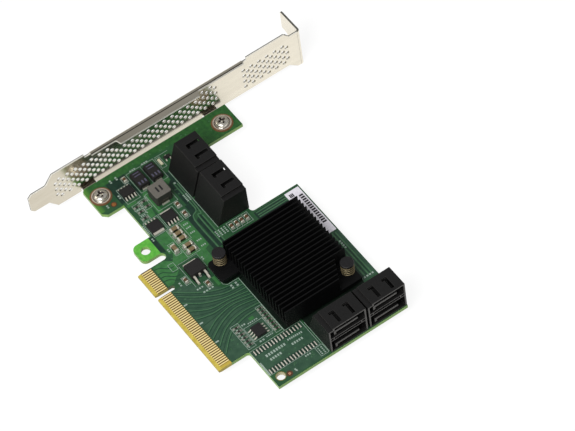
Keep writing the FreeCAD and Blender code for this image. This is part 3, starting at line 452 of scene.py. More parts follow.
class Shape:
    """A mesh being built in millimetres."""

    def __init__(self):
        self.bm = bmesh.new()

    def band(self, rings, caps=True):
        """Skin over rings of points, each ring closed on itself, with flat ends."""
        loops = [[self.bm.verts.new(point) for point in ring] for ring in rings]
        for lower, upper in zip(loops, loops[1:]):
            for n in range(len(lower)):
                ahead = (n + 1) % len(lower)
                self.bm.faces.new((lower[n], lower[ahead], upper[ahead], upper[n]))
        if caps:
            self.bm.faces.new(loops[0][::-1])
            self.bm.faces.new(loops[-1])

    def prism(self, outline, low, high, place=Matrix.Identity(4)):
        """Outline pushed from low to high, then turned into its plane."""
        self.band([[place @ Vector((u, v, level)) for u, v in outline] for level in (low, high)])

    def block(self, x0, x1, y0, y1, z0, z1):
        self.prism(rectangle(x0, x1, y0, y1), z0, z1)

    def tile(self, x, y, half_x, half_y, low, rise):
        """Flat block about a point."""
        self.block(x - half_x, x + half_x, y - half_y, y + half_y, low, low + rise)

    def pillow(self, low, high, chamfer):
        """Block with its upright corners and its top edges cut back."""
        rings = []
        cut = chamfer * 0.6
        for z, inset in ((low.z, 0), (high.z - chamfer, 0), (high.z, chamfer)):
            x0, x1, y0, y1 = low.x + inset, high.x - inset, low.y + inset, high.y - inset
            rings.append([
                (x0 + cut, y0, z), (x1 - cut, y0, z), (x1, y0 + cut, z), (x1, y1 - cut, z),
                (x1 - cut, y1, z), (x0 + cut, y1, z), (x0, y1 - cut, z), (x0, y0 + cut, z),
            ])
        self.band(rings)

    def lathe(self, profile, x, y, sides):
        """Turned form about the upright line through (x, y), from (radius, z) points."""
        self.band([[(u, v, z) for u, v in circle(x, y, radius, sides)] for radius, z in profile])

    def washer(self, x, y, inner, outer, low, high, sides):
        """Flat ring."""
        levels = ((inner, low), (outer, low), (outer, high), (inner, high), (inner, low))
        self.band([[(u, v, z) for u, v in circle(x, y, r, sides)] for r, z in levels], caps=False)

    def ribbon(self, path, width, rise):
        """Flat strip of one width along a path on the board."""
        low, high = top_z, top_z + rise
        rings = []
        for index, point in enumerate(path):
            along = heading(path, index)
            side = Vector((-along.y, along.x)) * width / 2
            left, right = Vector(point) + side, Vector(point) - side
            rings.append([(*left, low), (*right, low), (*right, high), (*left, high)])
        self.band(rings)

    def outline(self, x0, x1, y0, y1, line):
        """Rectangle printed with a line."""
        low, high = y0 + line, y1 - line
        for span in (
            (x0, x1, y0, low), (x0, x1, high, y1), (x0, x0 + line, low, high), (x1 - line, x1, low, high),
        ):
            self.block(*span, top_z, print_z)

    def tube(self, path, radius, sides):
        """Round wire along a path in space."""
        rings = []
        for index, point in enumerate(path):
            along = heading(path, index)
            across = along.cross(Vector((0, 0, 1))).normalized()
            up = across.cross(along)
            rings.append([Vector(point) + across * u + up * v for u, v in circle(0, 0, radius, sides)])
        self.band(rings)

    def sheet(self, outlines, low, high, chamfer, place):
        """Flat sheet with holes and chamfered edges: the first outline is the outer one."""
        curve = bpy.data.curves.new("outline", "CURVE")
        curve.dimensions = "2D"
        curve.fill_mode = "BOTH"
        curve.extrude = (high - low) / 2 - chamfer
        curve.bevel_depth = chamfer
        curve.bevel_resolution = 0
        curve.offset = -chamfer
        for points in outlines:
            spline = curve.splines.new("POLY")
            spline.points.add(len(points) - 1)
            for knot, (u, v) in zip(spline.points, points):
                knot.co = (u, v, 0, 1)
            spline.use_cyclic_u = True
        holder = bpy.data.objects.new("outline", curve)
        mesh = bpy.data.meshes.new_from_object(holder)
        for face in mesh.polygons:
            face.material_index = 1 if abs(face.normal.z) < 0.8 else 0
        mesh.transform(place @ Matrix.Translation((0, 0, (low + high) / 2)))
        self.bm.from_mesh(mesh)
        bpy.data.objects.remove(holder)
        bpy.data.meshes.remove(mesh)
        bpy.data.curves.remove(curve)

    def mark(self, test, finish=1):
        """Give another finish to the faces whose centre and normal pass a test."""
        bmesh.ops.recalc_face_normals(self.bm, faces=self.bm.faces)
        for face in self.bm.faces:
            if test(face.calc_center_median(), face.normal):
                face.material_index = finish

    def split(self, x):
        """Cut the faces that cross a plane of constant X."""
        everything = self.bm.verts[:] + self.bm.edges[:] + self.bm.faces[:]
        bmesh.ops.bisect_plane(self.bm, geom=everything, plane_co=(x, 0, 0), plane_no=(1, 0, 0))

    def piece(self, name, materials, slot=None, replaces=()):
        """Make the mesh an object of the card, smooth but for its sharp edges."""
        bmesh.ops.remove_doubles(self.bm, verts=self.bm.verts, dist=0.0005)
        bmesh.ops.recalc_face_normals(self.bm, faces=self.bm.faces)
        bmesh.ops.scale(self.bm, vec=(MM, MM, MM), verts=self.bm.verts)
        limit = math.radians(sharp_angle)
        for face in self.bm.faces:
            face.smooth = True
        for edge in self.bm.edges:
            edge.smooth = len(edge.link_faces) == 2 and edge.calc_face_angle() < limit
        mesh = bpy.data.meshes.new(name)
        self.bm.to_mesh(mesh)
        self.bm.free()
        for material in materials if isinstance(materials, list) else [materials]:
            mesh.materials.append(material)
        piece = bpy.data.objects.new(name, mesh)
        bpy.context.scene.collection.objects.link(piece)
        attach(piece, "root")
        if replaces:
            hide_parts(*replaces)
        return piece


# Bracket: a finer copy of the folded sheet, with round holes and softened edges
sheet = 0.8
fold_radius = 1.25
fold_inner = fold_radius - sheet
edge_chamfer = 0.07
hole_radius = 0.78
hole_pitch_y = 3.535
hole_pitch_z = 3.13
hole_rise = 4.5
hole_sides = 20
first_patch_y = -3.84
first_patch_columns = 41
second_patch_drop = 26.2
second_patch_columns = 12
flange_y = (12.0, 79.7)
flange_reach = 2.2
relief_low = 2.4
relief_high = 2.1
wing_y = (22.7, 59.0)
wing_reach = 4.6
wing_taper = 0.6
wing_clear = 6.2
wing_bend = 0.9
wing_corner = 0.5
crease_width = 0.45
crease_depth = 0.12
crease_overlap = 0.08
lip_width = 0.12
sheared_corner = 0.1
foot_rise = 4.3
foot_width = 9.9
foot_cut = 1.5
neck_y = (-8.0, -4.6)
tab_half = 2.95
tab_gap_half = 3.45
flare_drop = (6.5, 2.8)
step_drop = (7.2, 4.8)
step_depth = 2.7
screw_tab_reach = 12.4
ear_corner = 0.8
notch_rise = 7.3
notch_half = 2.2
notch_depth = 4.2
notch_bend = 2.199
notch_corner = 0.2
plate_in = bracket_low.x + screw_tab_reach
plate_out = plate_in - sheet
plate_low = bottom_z - sheet
plate_high = bracket_high.z
top_y = bracket_high.y
flare_z = bracket_low.z
step_z = plate_high - step_depth
fold_z = plate_high - fold_radius
tab_bend_z = plate_low + fold_radius
screw_boxes = solid_boxes("bracket_screws")
screw_places = [((low.x + high.x) / 2, (low.y + high.y) / 2) for low, high in screw_boxes]


def vent_centres():
    """Staggered rows in two patches, left out where the flange's wing stands over them."""
    first_z = plate_low + hole_rise
    patches = (
        (first_patch_y, first_patch_columns, first_z, 0),
        (top_y - second_patch_drop, second_patch_columns, first_z - hole_pitch_z / 2, 1),
    )
    for start_y, columns, low_z, phase in patches:
        for column in range(columns):
            y = start_y + column * hole_pitch_y / 2
            short = (column + phase) % 2 == 0
            for row in range(3 if short else 4):
                z = low_z + hole_pitch_z * (row + 0.5 * short)
                under_wing = wing_y[0] - hole_pitch_y / 2 < y < wing_y[1] + hole_pitch_y / 2
                if not (under_wing and z + hole_radius > plate_high - wing_clear):
                    yield y, z


def plate(shape):
    """Flat of the bracket, from the foot to the bend of the screw tab."""
    foot_low = plate_low + foot_rise
    foot_high = foot_low + foot_width
    foot_y = bracket_low.y
    bend_y = top_y - fold_radius
    fold_start, fold_end = flange_y[0] - relief_low, flange_y[1] + relief_high
    low_edge = []
    for x, y in screw_places:
        low_edge += [(y - tab_gap_half, plate_low), (y - tab_gap_half, tab_bend_z)]
        low_edge += [(y + tab_gap_half, tab_bend_z), (y + tab_gap_half, plate_low)]
    outline = [
        (foot_y, foot_low + foot_cut), (foot_y + foot_cut, foot_low),
        (neck_y[0], foot_low), (neck_y[1], plate_low), *low_edge,
        (top_y - flare_drop[0], plate_low), (top_y - flare_drop[1], flare_z),
        (bend_y, flare_z), (bend_y, step_z),
        (top_y - step_drop[1], step_z), (top_y - step_drop[0], plate_high),
        (fold_end, plate_high), (fold_end, fold_z), (fold_start, fold_z), (fold_start, plate_high),
        (neck_y[1], plate_high), (neck_y[0], foot_high),
        (foot_y + foot_cut, foot_high), (foot_y, foot_high - foot_cut),
    ]
    vents = list(vent_centres())
    holes = [circle(y, z, hole_radius, hole_sides) for y, z in vents]
    shape.sheet([outline] + holes, plate_out, plate_in, edge_chamfer, ON_YZ)
    middle = (plate_out + plate_in) / 2
    shape.split(middle)
    near = kdtree.KDTree(len(vents))
    for index, (y, z) in enumerate(vents):
        near.insert((0, y, z), index)
    near.balance()

    def in_hole(centre):
        return near.find((0, centre.y, centre.z))[2] < hole_radius * 1.5

    def dark_side(centre, normal):
        """Outer half of the outline."""
        return abs(normal.x) < 0.8 and centre.x < middle and not in_hole(centre)

    def shaded_wall(centre, normal):
        """Wall of each hole on the side of the foot, darkened as painted shade."""
        return abs(normal.x) < 0.8 and normal.y > 0.35 and in_hole(centre)

    shape.mark(dark_side, 2)
    shape.mark(shaded_wall, 3)


def flange(shape):
    """Fold along the upper edge, then a crease, and beyond it a lip that widens to a wing; a dark block in
    the crease is painted shade.
    """
    root = fold_z - 2 * edge_chamfer
    tip = plate_out + flange_reach
    lip = tip - lip_width
    crease = lip - crease_width
    under = plate_high - sheet
    section = rounded([
        (plate_out, root, 0), (plate_out, plate_high, fold_radius), (crease, plate_high, 0.05),
        (crease, under, 0.05), (plate_in, under, fold_inner), (plate_in, root, 0),
    ])
    shape.prism(section, *flange_y, ON_XZ)
    wing_x = plate_out + wing_reach
    wing = rounded([
        (lip, flange_y[0], 0), (tip, flange_y[0], sheared_corner), (tip, wing_y[0], wing_bend),
        (wing_x, wing_y[0] + wing_taper, wing_corner), (wing_x, wing_y[1] - wing_taper, wing_corner),
        (tip, wing_y[1], wing_bend), (tip, flange_y[1], sheared_corner), (lip, flange_y[1], 0),
    ])
    shape.prism(wing, under, plate_high)
    shape.mark(lambda centre, normal: centre.z > under and centre.x > lip and abs(normal.z) < 0.5)
    shape.mark(lambda centre, normal: centre.z > fold_z and abs(normal.y) > 0.9)
    # Dark block sunk into the crease: painted shade.
    groove_shade = Shape()
    groove_shade.block(
        crease - crease_overlap, lip + crease_overlap,
        flange_y[0] + crease_overlap, flange_y[1] - crease_overlap,
        under + crease_overlap, plate_high - crease_depth,
    )
    groove_shade.piece("flange_crease_shade", crease_shade_mat, "bracket_steel")


def bracket():
    shape = Shape()
    plate(shape)
    flange(shape)
    tab_root = tab_bend_z + 2 * edge_chamfer
    tab = rounded([
        (plate_out, tab_root, 0), (plate_out, plate_low, fold_radius),
        (bracket_high.x, plate_low, sheared_corner), (bracket_high.x, bottom_z, sheared_corner),
        (plate_in, bottom_z, fold_inner), (plate_in, tab_root, 0),
    ])
    for x, y in screw_places:
        shape.prism(tab, y - tab_half, y + tab_half, ON_XZ)
    bend_y = top_y - fold_radius - 2 * edge_chamfer
    elbow_x = plate_in - 2 * fold_radius
    elbow = rounded([
        (plate_in, bend_y, 0), (plate_in, top_y, fold_radius), (elbow_x, top_y, 0),
        (elbow_x, top_y - sheet, 0), (plate_out, top_y - sheet, fold_inner), (plate_out, bend_y, 0),
    ])
    shape.prism(elbow, flare_z, step_z)
    ear_x = bracket_low.x
    notch_low, notch_high = flare_z + notch_rise - notch_half, flare_z + notch_rise + notch_half
    notch_end = ear_x + notch_depth
    ear_root = elbow_x + 2 * edge_chamfer
    ear = rounded([
        (ear_x, flare_z, ear_corner), (ear_root, flare_z, 0), (ear_root, step_z, 0),
        (ear_x, step_z, ear_corner), (ear_x, notch_high, notch_corner), (notch_end, notch_high, notch_bend),
        (notch_end, notch_low, notch_bend), (ear_x, notch_low, notch_corner),
    ])
    shape.sheet([ear], top_y - sheet, top_y, edge_chamfer, ON_XZ)
    shape.mark(lambda centre, normal: centre.y > bend_y and normal.z > 0.5, 2)
    shape.piece(
        "bracket_sheet", [bracket_mat, sheared_mat, dark_edge_mat, hole_shade_mat], "bracket_steel", ["bracket"]
    )


bracket()


# Screws with a flange, a domed head and a cross recess; painted shade darkens the recess and a ring round
# the head, and a painted highlight sits on each recess floor
flange_radius = 4.0
head_radius = 2.75
shank_radius = 1.45
seat_rise = 0.12
recess_length = 3.6
recess_width = 1.0
recess_depth = 1.0
recess_taper = 0.6
screw_sides = 48


def screws():
    end_z, crown_z = screw_boxes[0][0].z, screw_boxes[0][1].z
    shape, cutter = Shape(), Shape()
    head = [
        (shank_radius, seat_rise), (flange_radius - 0.12, seat_rise), (flange_radius, 0.2),
        (flange_radius - 0.1, 0.34), (flange_radius - 0.3, 0.4), (head_radius + 0.15, 0.42),
        (head_radius, 0.55), (head_radius - 0.05, 0.85), (2.45, 1.35),
    ]
    profile = [(1.25, end_z), (shank_radius, end_z + 0.25)]
    profile += [(radius, top_z + rise) for radius, rise in head]
    profile += [(1.95, crown_z - 0.2), (1.2, crown_z - 0.04), (0.5, crown_z)]
    floor_z = crown_z - recess_depth
    for x, y in screw_places:
        shape.lathe(profile, x, y, screw_sides)
        for size_x, size_y in ((recess_length, recess_width), (recess_width, recess_length)):
            wide = rectangle(x - size_x / 2, x + size_x / 2, y - size_y / 2, y + size_y / 2)
            low = [(x + (u - x) * recess_taper, y + (v - y) * recess_taper, floor_z) for u, v in wide]
            cutter.band([low, [(u, v, crown_z + 0.3) for u, v in wide]])
    piece = shape.piece("domed_screws", screw_mat, "screw_steel", ["bracket_screws"])
    tool = cutter.piece("recess_cutter", recess_shade_mat)
    # The recess walls take the dark finish: painted shade.
    cut = piece.modifiers.new("recess", "BOOLEAN")
    cut.object = tool
    cut.solver = "EXACT"
    cut.use_self = True
    cut.material_mode = "TRANSFER"
    graph = bpy.context.evaluated_depsgraph_get()
    piece.data = bpy.data.meshes.new_from_object(piece.evaluated_get(graph))
    piece.modifiers.clear()
    bpy.data.objects.remove(tool)
    # The dark ring between the seat and the head is painted shade.
    rim, seat, groove_shade, glint = Shape(), Shape(), Shape(), Shape()
    seat_outer = flange_radius - 0.42
    seat_inner = head_radius + 0.35
    for x, y in screw_places:
        for ring, inner, outer, low, high in (
            (rim, 1.5, flange_radius + 0.24, 0.0, seat_rise),
            (rim, seat_outer, flange_radius + 0.02, 0.16, 0.42),
            (seat, seat_inner, seat_outer, 0.3, 0.45),
            (groove_shade, head_radius - 0.1, seat_inner, 0.3, 0.46),
        ):
            ring.washer(x, y, inner, outer, top_z + low, top_z + high, screw_sides)
        # Bright tin cone on the floor of each recess: a painted highlight.
        glint.lathe([(0.5, floor_z - 0.05), (0.46, floor_z + 0.2), (0.2, floor_z + 0.34)], x, y, 20)
    glint.piece("recess_glints", tin_mat, "screw_steel")
    rim.piece("screw_land_rims", copper_mat, "gold_plating")
    seat.piece("screw_seats", seat_mat, "screw_steel")
    groove_shade.piece("screw_groove_shades", recess_shade_mat, "screw_steel")


screws()


# Push pins and their springs
pin_shank = 1.4
pin_barb = 1.95
pin_tip = 1.0
pin_rim = 0.25
pin_play = 0.02
pin_sides = 40
spring_wire = 0.36
spring_turns = 5.0
spring_steps = 28
spring_flat = 0.1


def push_pin(side):
    low, high = box_mm("push_pin_" + side)
    spring_low, spring_high = box_mm("push_pin_spring_" + side)
    x, y = (low.x + high.x) / 2, (low.y + high.y) / 2
    cap = (high.x - low.x) / 2
    under = bottom_z - pin_play
    shape = Shape()
    shape.lathe([
        (pin_tip, low.z), (pin_barb, bottom_z - 0.12), (pin_barb - 0.1, under), (pin_shank, under),
        (pin_shank, spring_high.z), (cap - 0.1, spring_high.z), (cap, spring_high.z + 0.1),
        (cap, high.z - pin_rim), (cap - 0.09, high.z - 0.08), (cap - pin_rim, high.z), (0.4, high.z),
    ], x, y, pin_sides)
    shape.piece("turned_pin_" + side, pin_mat, "pin_plastic", ["push_pin_" + side])
    coil = Shape()
    steps = int(spring_turns * spring_steps)
    radius = (spring_high.x - spring_low.x - spring_wire) / 2
    foot_z, head_z = spring_low.z + spring_wire / 2, spring_high.z - spring_wire / 2
    path = []
    for step in range(steps + 1):
        share = step / steps
        turn = 2 * math.pi * spring_turns * share
        climb = min(max((share - spring_flat) / (1 - 2 * spring_flat), 0.0), 1.0)
        z = foot_z + (head_z - foot_z) * climb
        path.append((x + radius * math.cos(turn), y + radius * math.sin(turn), z))
    coil.tube(path, spring_wire / 2, 10)
    coil.piece("wire_spring_" + side, brass_mat, "spring_brass", ["push_pin_spring_" + side])


push_pin("left")
push_pin("right")


# Two-ended chip parts: a body, metal ends, solder and the pads below
pads = Shape()
fillets = Shape()
lead_shadows = Shape()
end_skin = 0.04
end_chamfer = 0.1
fillet_reach = 0.45
fillet_toe = 0.06
fillet_share = 0.55
fillet_inset = 0.06
end_land = (0.6, 0.12)
lead_land = (0.35, 0.08)
lead_foot = 0.75
shade_overlap = 0.4
shade_end = 0.35
shade_margin = 0.42


def outer_end(low, high, axis, outward, length):
    """Corners of one end of a box."""
    low, high = low.copy(), high.copy()
    if outward > 0:
        low[axis] = high[axis] - length
    else:
        high[axis] = low[axis] + length
    return low, high


def land(low, high, axis, outward, reach, margin):
    """Pad below a box, with more room at its outer end and to both sides."""
    low, high = low.copy(), high.copy()
    if outward > 0:
        high[axis] += reach
    else:
        low[axis] -= reach
    low[1 - axis] -= margin
    high[1 - axis] += margin
    pads.block(low.x, high.x, low.y, high.y, top_z, pad_z)


def two_ended(name, body_mat, end_mat, end_share, slot):
    """Detailed parts in the place of a node's plain blocks."""
    bodies, ends = Shape(), Shape()
    for low, high in solid_boxes(name):
        axis = 0 if high.x - low.x > high.y - low.y else 1
        cross = 1 - axis
        end = (high[axis] - low[axis]) * end_share
        body_low, body_high = low.copy(), high.copy()
        body_low[axis] += end / 2
        body_high[axis] -= end / 2
        body_low[cross] += end_skin
        body_high[cross] -= end_skin
        body_high.z -= end_skin
        bodies.pillow(body_low, body_high, end_chamfer)
        rise = low.z + fillet_share * (high.z - low.z)
        for outward in (-1, 1):
            cap = outer_end(low, high, axis, outward, end)
            ends.pillow(*cap, end_chamfer)
            land(*cap, axis, outward, *end_land)
            face = high[axis] if outward > 0 else low[axis]
            toe = face + outward * fillet_reach
            wedge = [(face, low.z), (toe, low.z), (toe, low.z + fillet_toe), (face, rise)]
            side0, side1 = low[cross] + fillet_inset, high[cross] - fillet_inset
            fillets.prism(wedge, side0, side1, ON_YZ if axis else ON_XZ)
    bodies.piece(name + "_bodies", body_mat, slot, [name])
    ends.piece(name + "_ends", end_mat, "tinned_leads")


two_ended("ceramic_capacitors", tan_mat, tin_mat, 0.2, "tan_ceramic")
two_ended("chip_capacitors", brown_mat, tin_mat, 0.22, "tan_ceramic")
two_ended("chip_resistors", resistor_mat, dull_mat, 0.22, "black_ceramic")


# Pads under the leads, painted shadow under the leads on one side of the chips, and the open footprint
# beside the rear sockets
header_columns = (99.6, 109.45)
header_pads = 16
header_first_y = 14.25
header_pitch = 1.295
header_half = Vector((1.05, 0.24, 0))
header_rise = Vector((0, 0, 0.12))


def lead_pads(leads, body):
    low, high = box_mm(body)
    middle = (low + high) / 2
    for lead_low, lead_high in solid_boxes(leads):
        centre = (lead_low + lead_high) / 2
        axis = 0 if abs(centre.x - middle.x) > abs(centre.y - middle.y) else 1
        outward = 1 if centre[axis] > middle[axis] else -1
        foot = outer_end(lead_low, lead_high, axis, outward, lead_foot)
        land(*foot, axis, outward, *lead_land)
        # Near-black field under the leads on the +X side of each chip: painted shadow.
        if axis == 0 and outward > 0 and leads.endswith("_leads"):
            x0, x1 = high.x - shade_overlap, lead_high.x - shade_end
            y0, y1 = lead_low.y - shade_margin, lead_high.y + shade_margin
            lead_shadows.block(x0, x1, y0, y1, top_z, print_z)


for chip in chips:
    lead_pads(chip + "_leads", chip)
for terminals in ("power_inductor_terminals", "polymer_capacitor_terminals"):
    lead_pads(terminals, "power_inductor")
open_pads = Shape()
for column in header_columns:
    for row in range(header_pads):
        spot = Vector((at(column), header_first_y + row * header_pitch, top_z))
        open_pads.pillow(spot - header_half, spot + header_half + header_rise, 0.08)
open_pads.piece("open_footprint", tin_mat, "tinned_leads")
lead_shadows.piece("lead_shadows", shadow_ground_mat, "green_board")
pads.piece("solder_lands", dull_mat, "tinned_leads")
fillets.piece("solder_fillets", dull_mat, "tinned_leads")


# Copper under the resist: pours, dark grounds and traces, and near-black fields of painted shadow
pour_outlines = [
    [(35.2, 14.4), (44.4, 14.4), (44.4, 16.0), (47.8, 13.6), (45.6, 11.0), (45.6, 6.2), (56.2, 6.2),
     (56.2, 8.6), (52.6, 13.0), (50.2, 13.6), (50.2, 22.2), (57.4, 22.2), (56.0, 26.0), (50.6, 26.2),
     (49.8, 28.2), (36.4, 28.2), (35.2, 27.0)],
    [(22.6, 18.0), (26.6, 18.0), (26.6, 20.2), (22.6, 20.8)],
    [(14.8, 31.4), (17.9, 31.4), (16.4, 33.4), (14.8, 33.4)],
    rectangle(16.2, 17.6, 14.0, 18.0),
    rectangle(62.6, 67.0, 20.6, 21.8),
    rectangle(85.6, 87.0, 20.8, 22.8),
    [(16.0, 21.4), (27.0, 21.4), (27.0, 23.4), (15.0, 23.4), (15.0, 22.2)],
]
dark_outlines = [
    [(36.0, 28.4), (53.4, 28.4), (53.4, 29.9), (37.2, 29.9), (34.0, 33.0), (30.0, 33.4), (30.0, 30.8),
     (33.6, 30.8)],
    [(12.8, 33.6), (16.6, 33.6), (18.1, 31.6), (29.9, 31.6), (29.9, 33.5), (34.1, 33.1), (35.4, 34.9),
     (12.8, 34.9)],
    [(38.0, 30.7), (53.0, 30.7), (53.0, 32.0), (37.0, 32.0)],
    [(36.6, 32.7), (52.4, 32.7), (52.4, 33.4), (36.0, 33.4)],
    [(33.8, 12.4), (41.6, 12.4), (42.8, 14.1), (33.8, 14.1)],
    rectangle(3.4, 14.8, 13.2, 21.4),
    rectangle(57.8, 60.2, 14.6, 21.6),
    rectangle(48.4, 58.4, 48.8, 61.9),
    rectangle(98.4, 100.8, 13.8, 34.2),
    rectangle(108.2, 110.7, 13.8, 34.2),
]
# Near-black fields beside the heatsink, its ear and the rear sockets: painted shadow.
painted_shadow_outlines = [
    rectangle(96.0, 102.7, 35.7, 62.6),
    rectangle(69.1, 98.0, 28.35, 30.6),
    [(57.9, 22.5), (67.4, 22.5), (68.5, 23.6), (68.5, 28.35), (69.4, 28.35), (69.4, 30.4), (57.9, 30.4)],
]
haze_outlines = [
    [(58.8, 5.8), (97.4, 5.8), (97.4, 24.6), (84.0, 27.6), (69.0, 27.6), (69.0, 22.0), (58.8, 11.0)],
    [(98.4, 13.2), (110.9, 13.2), (110.9, 18.6), (116.0, 18.6), (116.0, 35.0), (98.4, 35.0)],
    rectangle(74.0, 98.4, 62.2, 68.7),
]
fan_levels = (6.1, 12.5, 20.0, 27.8)
fan_lines = [
    (59.4, 64.6, 68.7, 70.0), (61.8, 67.0, 71.1, 72.0), (65.6, 70.3, 73.0, 74.0), (69.9, 73.6, 74.4, 75.8),
    (74.3, 75.9, 75.7, 77.3), (81.8, 78.5, 77.1, 78.7), (85.0, 81.2, 79.0, 80.2), (89.2, 84.1, 82.0, 82.4),
    (93.2, 87.1, 84.4, 84.2),
]
trace_runs = [
    [(53.4, 30.25), (37.3, 30.25), (34.0, 33.1), (29.6, 33.35), (18.4, 33.35)],
    [(53.0, 32.35), (36.9, 32.35), (35.4, 34.0), (19.4, 34.45)],
    [(52.4, 33.75), (37.2, 33.75)],
]
trace_runs += [[(x, 49.6), (x, 62.4)] for x in (49.0, 50.2, 51.2)]
trace_runs += [[(74.2, y), (end, y)] for y, end in ((67.2, 97.2), (65.9, 97.2), (64.4, 96.4))]
trace_width = 0.34
trace_gap = 0.46
trace_rise = 0.02
via_zones = [
    (36.0, 43.0, 14.8, 15.8, 5), (46.0, 50.0, 14.0, 19.0, 6), (51.0, 56.0, 23.0, 25.6, 5),
    (1.0, 3.0, 24.0, 60.0, 12), (59.5, 66.0, 7.0, 10.0, 6), (101.2, 107.6, 14.0, 34.0, 18),
    (111.5, 113.5, 21.5, 31.0, 8), (88.0, 96.0, 7.0, 12.5, 8), (5.0, 11.0, 50.0, 59.0, 6),
    (16.0, 24.0, 31.0, 33.0, 5),
]


def fields(name, outlines, material, rise):
    shape = Shape()
    for points in outlines:
        shape.prism(from_edge(points), top_z, top_z + rise)
    shape.piece(name, material, "green_board")


def fan_path(line, shift):
    """One trace from the fingers up to the heatsink, drawn together on the way."""
    return smooth_path(from_edge([(x + shift, y) for x, y in zip(line, fan_levels)]), 8)


def traces():
    bright, dim = Shape(), Shape()
    for line in fan_lines:
        bright.ribbon(fan_path(line, 0.0), trace_width, trace_rise)
        dim.ribbon(fan_path(line, trace_gap), trace_width * 1.3, 0.018)
    for line, other in zip(fan_lines, fan_lines[1:]):
        between = [(x + u) / 2 for x, u in zip(line, other)]
        dim.ribbon(fan_path(between, trace_gap), trace_width * 0.8, 0.014)
    for level in (66.55, 65.15, 63.6):
        dim.ribbon(from_edge([(74.2, level), (97.0, level)]), trace_width * 1.9, 0.016)
    for run in trace_runs:
        bright.ribbon(from_edge(smooth_path(run, 6)), trace_width * 1.4, trace_rise)
    for foot in (47.0, 49.4, 51.4, 53.4):
        run = [(foot, 6.0), (foot + 0.4, 8.0), (foot + 2.6, 10.6), (foot + 3.0, 12.6)]
        dim.ribbon(from_edge(smooth_path(run, 6)), trace_width, 0.024)
    bright.piece("bright_traces", trace_mat, "green_board")
    dim.piece("dim_traces", dim_trace_mat, "green_board")


def vias():
    """Resist-covered through holes, a few in each busy corner of the board."""
    shape = Shape()
    for x0, x1, y0, y1, count in via_zones:
        for n in range(count):
            x, y = at(random.uniform(x0, x1)), random.uniform(y0, y1)
            shape.washer(x, y, 0.13, 0.3, top_z, top_z + 0.026, 12)
    shape.piece("covered_vias", trace_mat, "green_board")


fields("trace_grounds", haze_outlines, haze_mat, 0.008)
fields("copper_pours", pour_outlines, pour_mat, 0.012)
fields("dark_grounds", dark_outlines, dark_mat, 0.016)
fields("painted_shadow_fields", painted_shadow_outlines, shadow_ground_mat, 0.022)
traces()
vias()


# White print: outlines round the parts, lines, ticks and rows of plain bars
silk_line = 0.15
bar_share = 0.62
part_boxes = [
    (4.2, 15.0, 21.6, 27.9), (4.2, 15.0, 27.7, 33.6), (8.0, 16.2, 14.8, 20.5), (16.4, 25.9, 22.0, 30.6),
    (26.9, 34.8, 14.2, 20.4), (26.9, 34.8, 20.8, 27.2), (35.2, 43.4, 19.1, 24.9), (43.9, 49.9, 18.9, 24.4),
    (40.6, 46.8, 15.9, 18.5), (46.1, 50.9, 38.0, 47.2), (88.4, 95.6, 16.9, 25.0), (83.5, 97.1, 25.2, 28.0),
    (85.0, 97.1, 13.3, 16.7), (98.0, 110.9, 12.9, 34.9), (111.1, 115.4, 32.1, 35.4),
    (56.0, 60.0, 11.5, 13.6), (62.4, 65.6, 17.1, 19.4), (5.0, 10.4, 34.0, 36.1), (17.8, 20.8, 15.3, 18.0),
    (20.9, 23.3, 15.4, 18.2), (24.3, 26.6, 14.9, 18.0), (17.4, 22.6, 18.9, 21.4), (4.4, 7.6, 18.9, 21.0),
    (31.0, 34.9, 27.9, 30.2), (26.4, 29.4, 28.2, 30.2), (48.2, 51.9, 10.9, 13.4),
]
thin_lines = [[(46.1, y), (50.9, y)] for y in (40.4, 42.6, 44.8)] + [
    [(57.6, 22.2), (67.6, 22.2), (68.8, 23.4), (68.8, 28.1)],
    [(50.4, 13.9), (50.4, 22.2), (58.6, 22.2)],
    [(51.2, 13.9), (62.6, 13.9)],
    [(12.6, 35.1), (45.6, 35.1)],
    [(99.6, 35.6), (115.2, 35.6)],
    [(4.4, 34.2), (4.4, 40.0)],
]
wide_lines = [(x, 5.8, x, 7.2, 0.62) for x in (66.8, 76.9, 87.0)] + [
    (68.8, 28.1, 98.2, 28.1, 0.2), (104.2, 13.35, 110.7, 13.35, 0.5), (113.7, 21.6, 115.1, 21.9, 0.6),
]
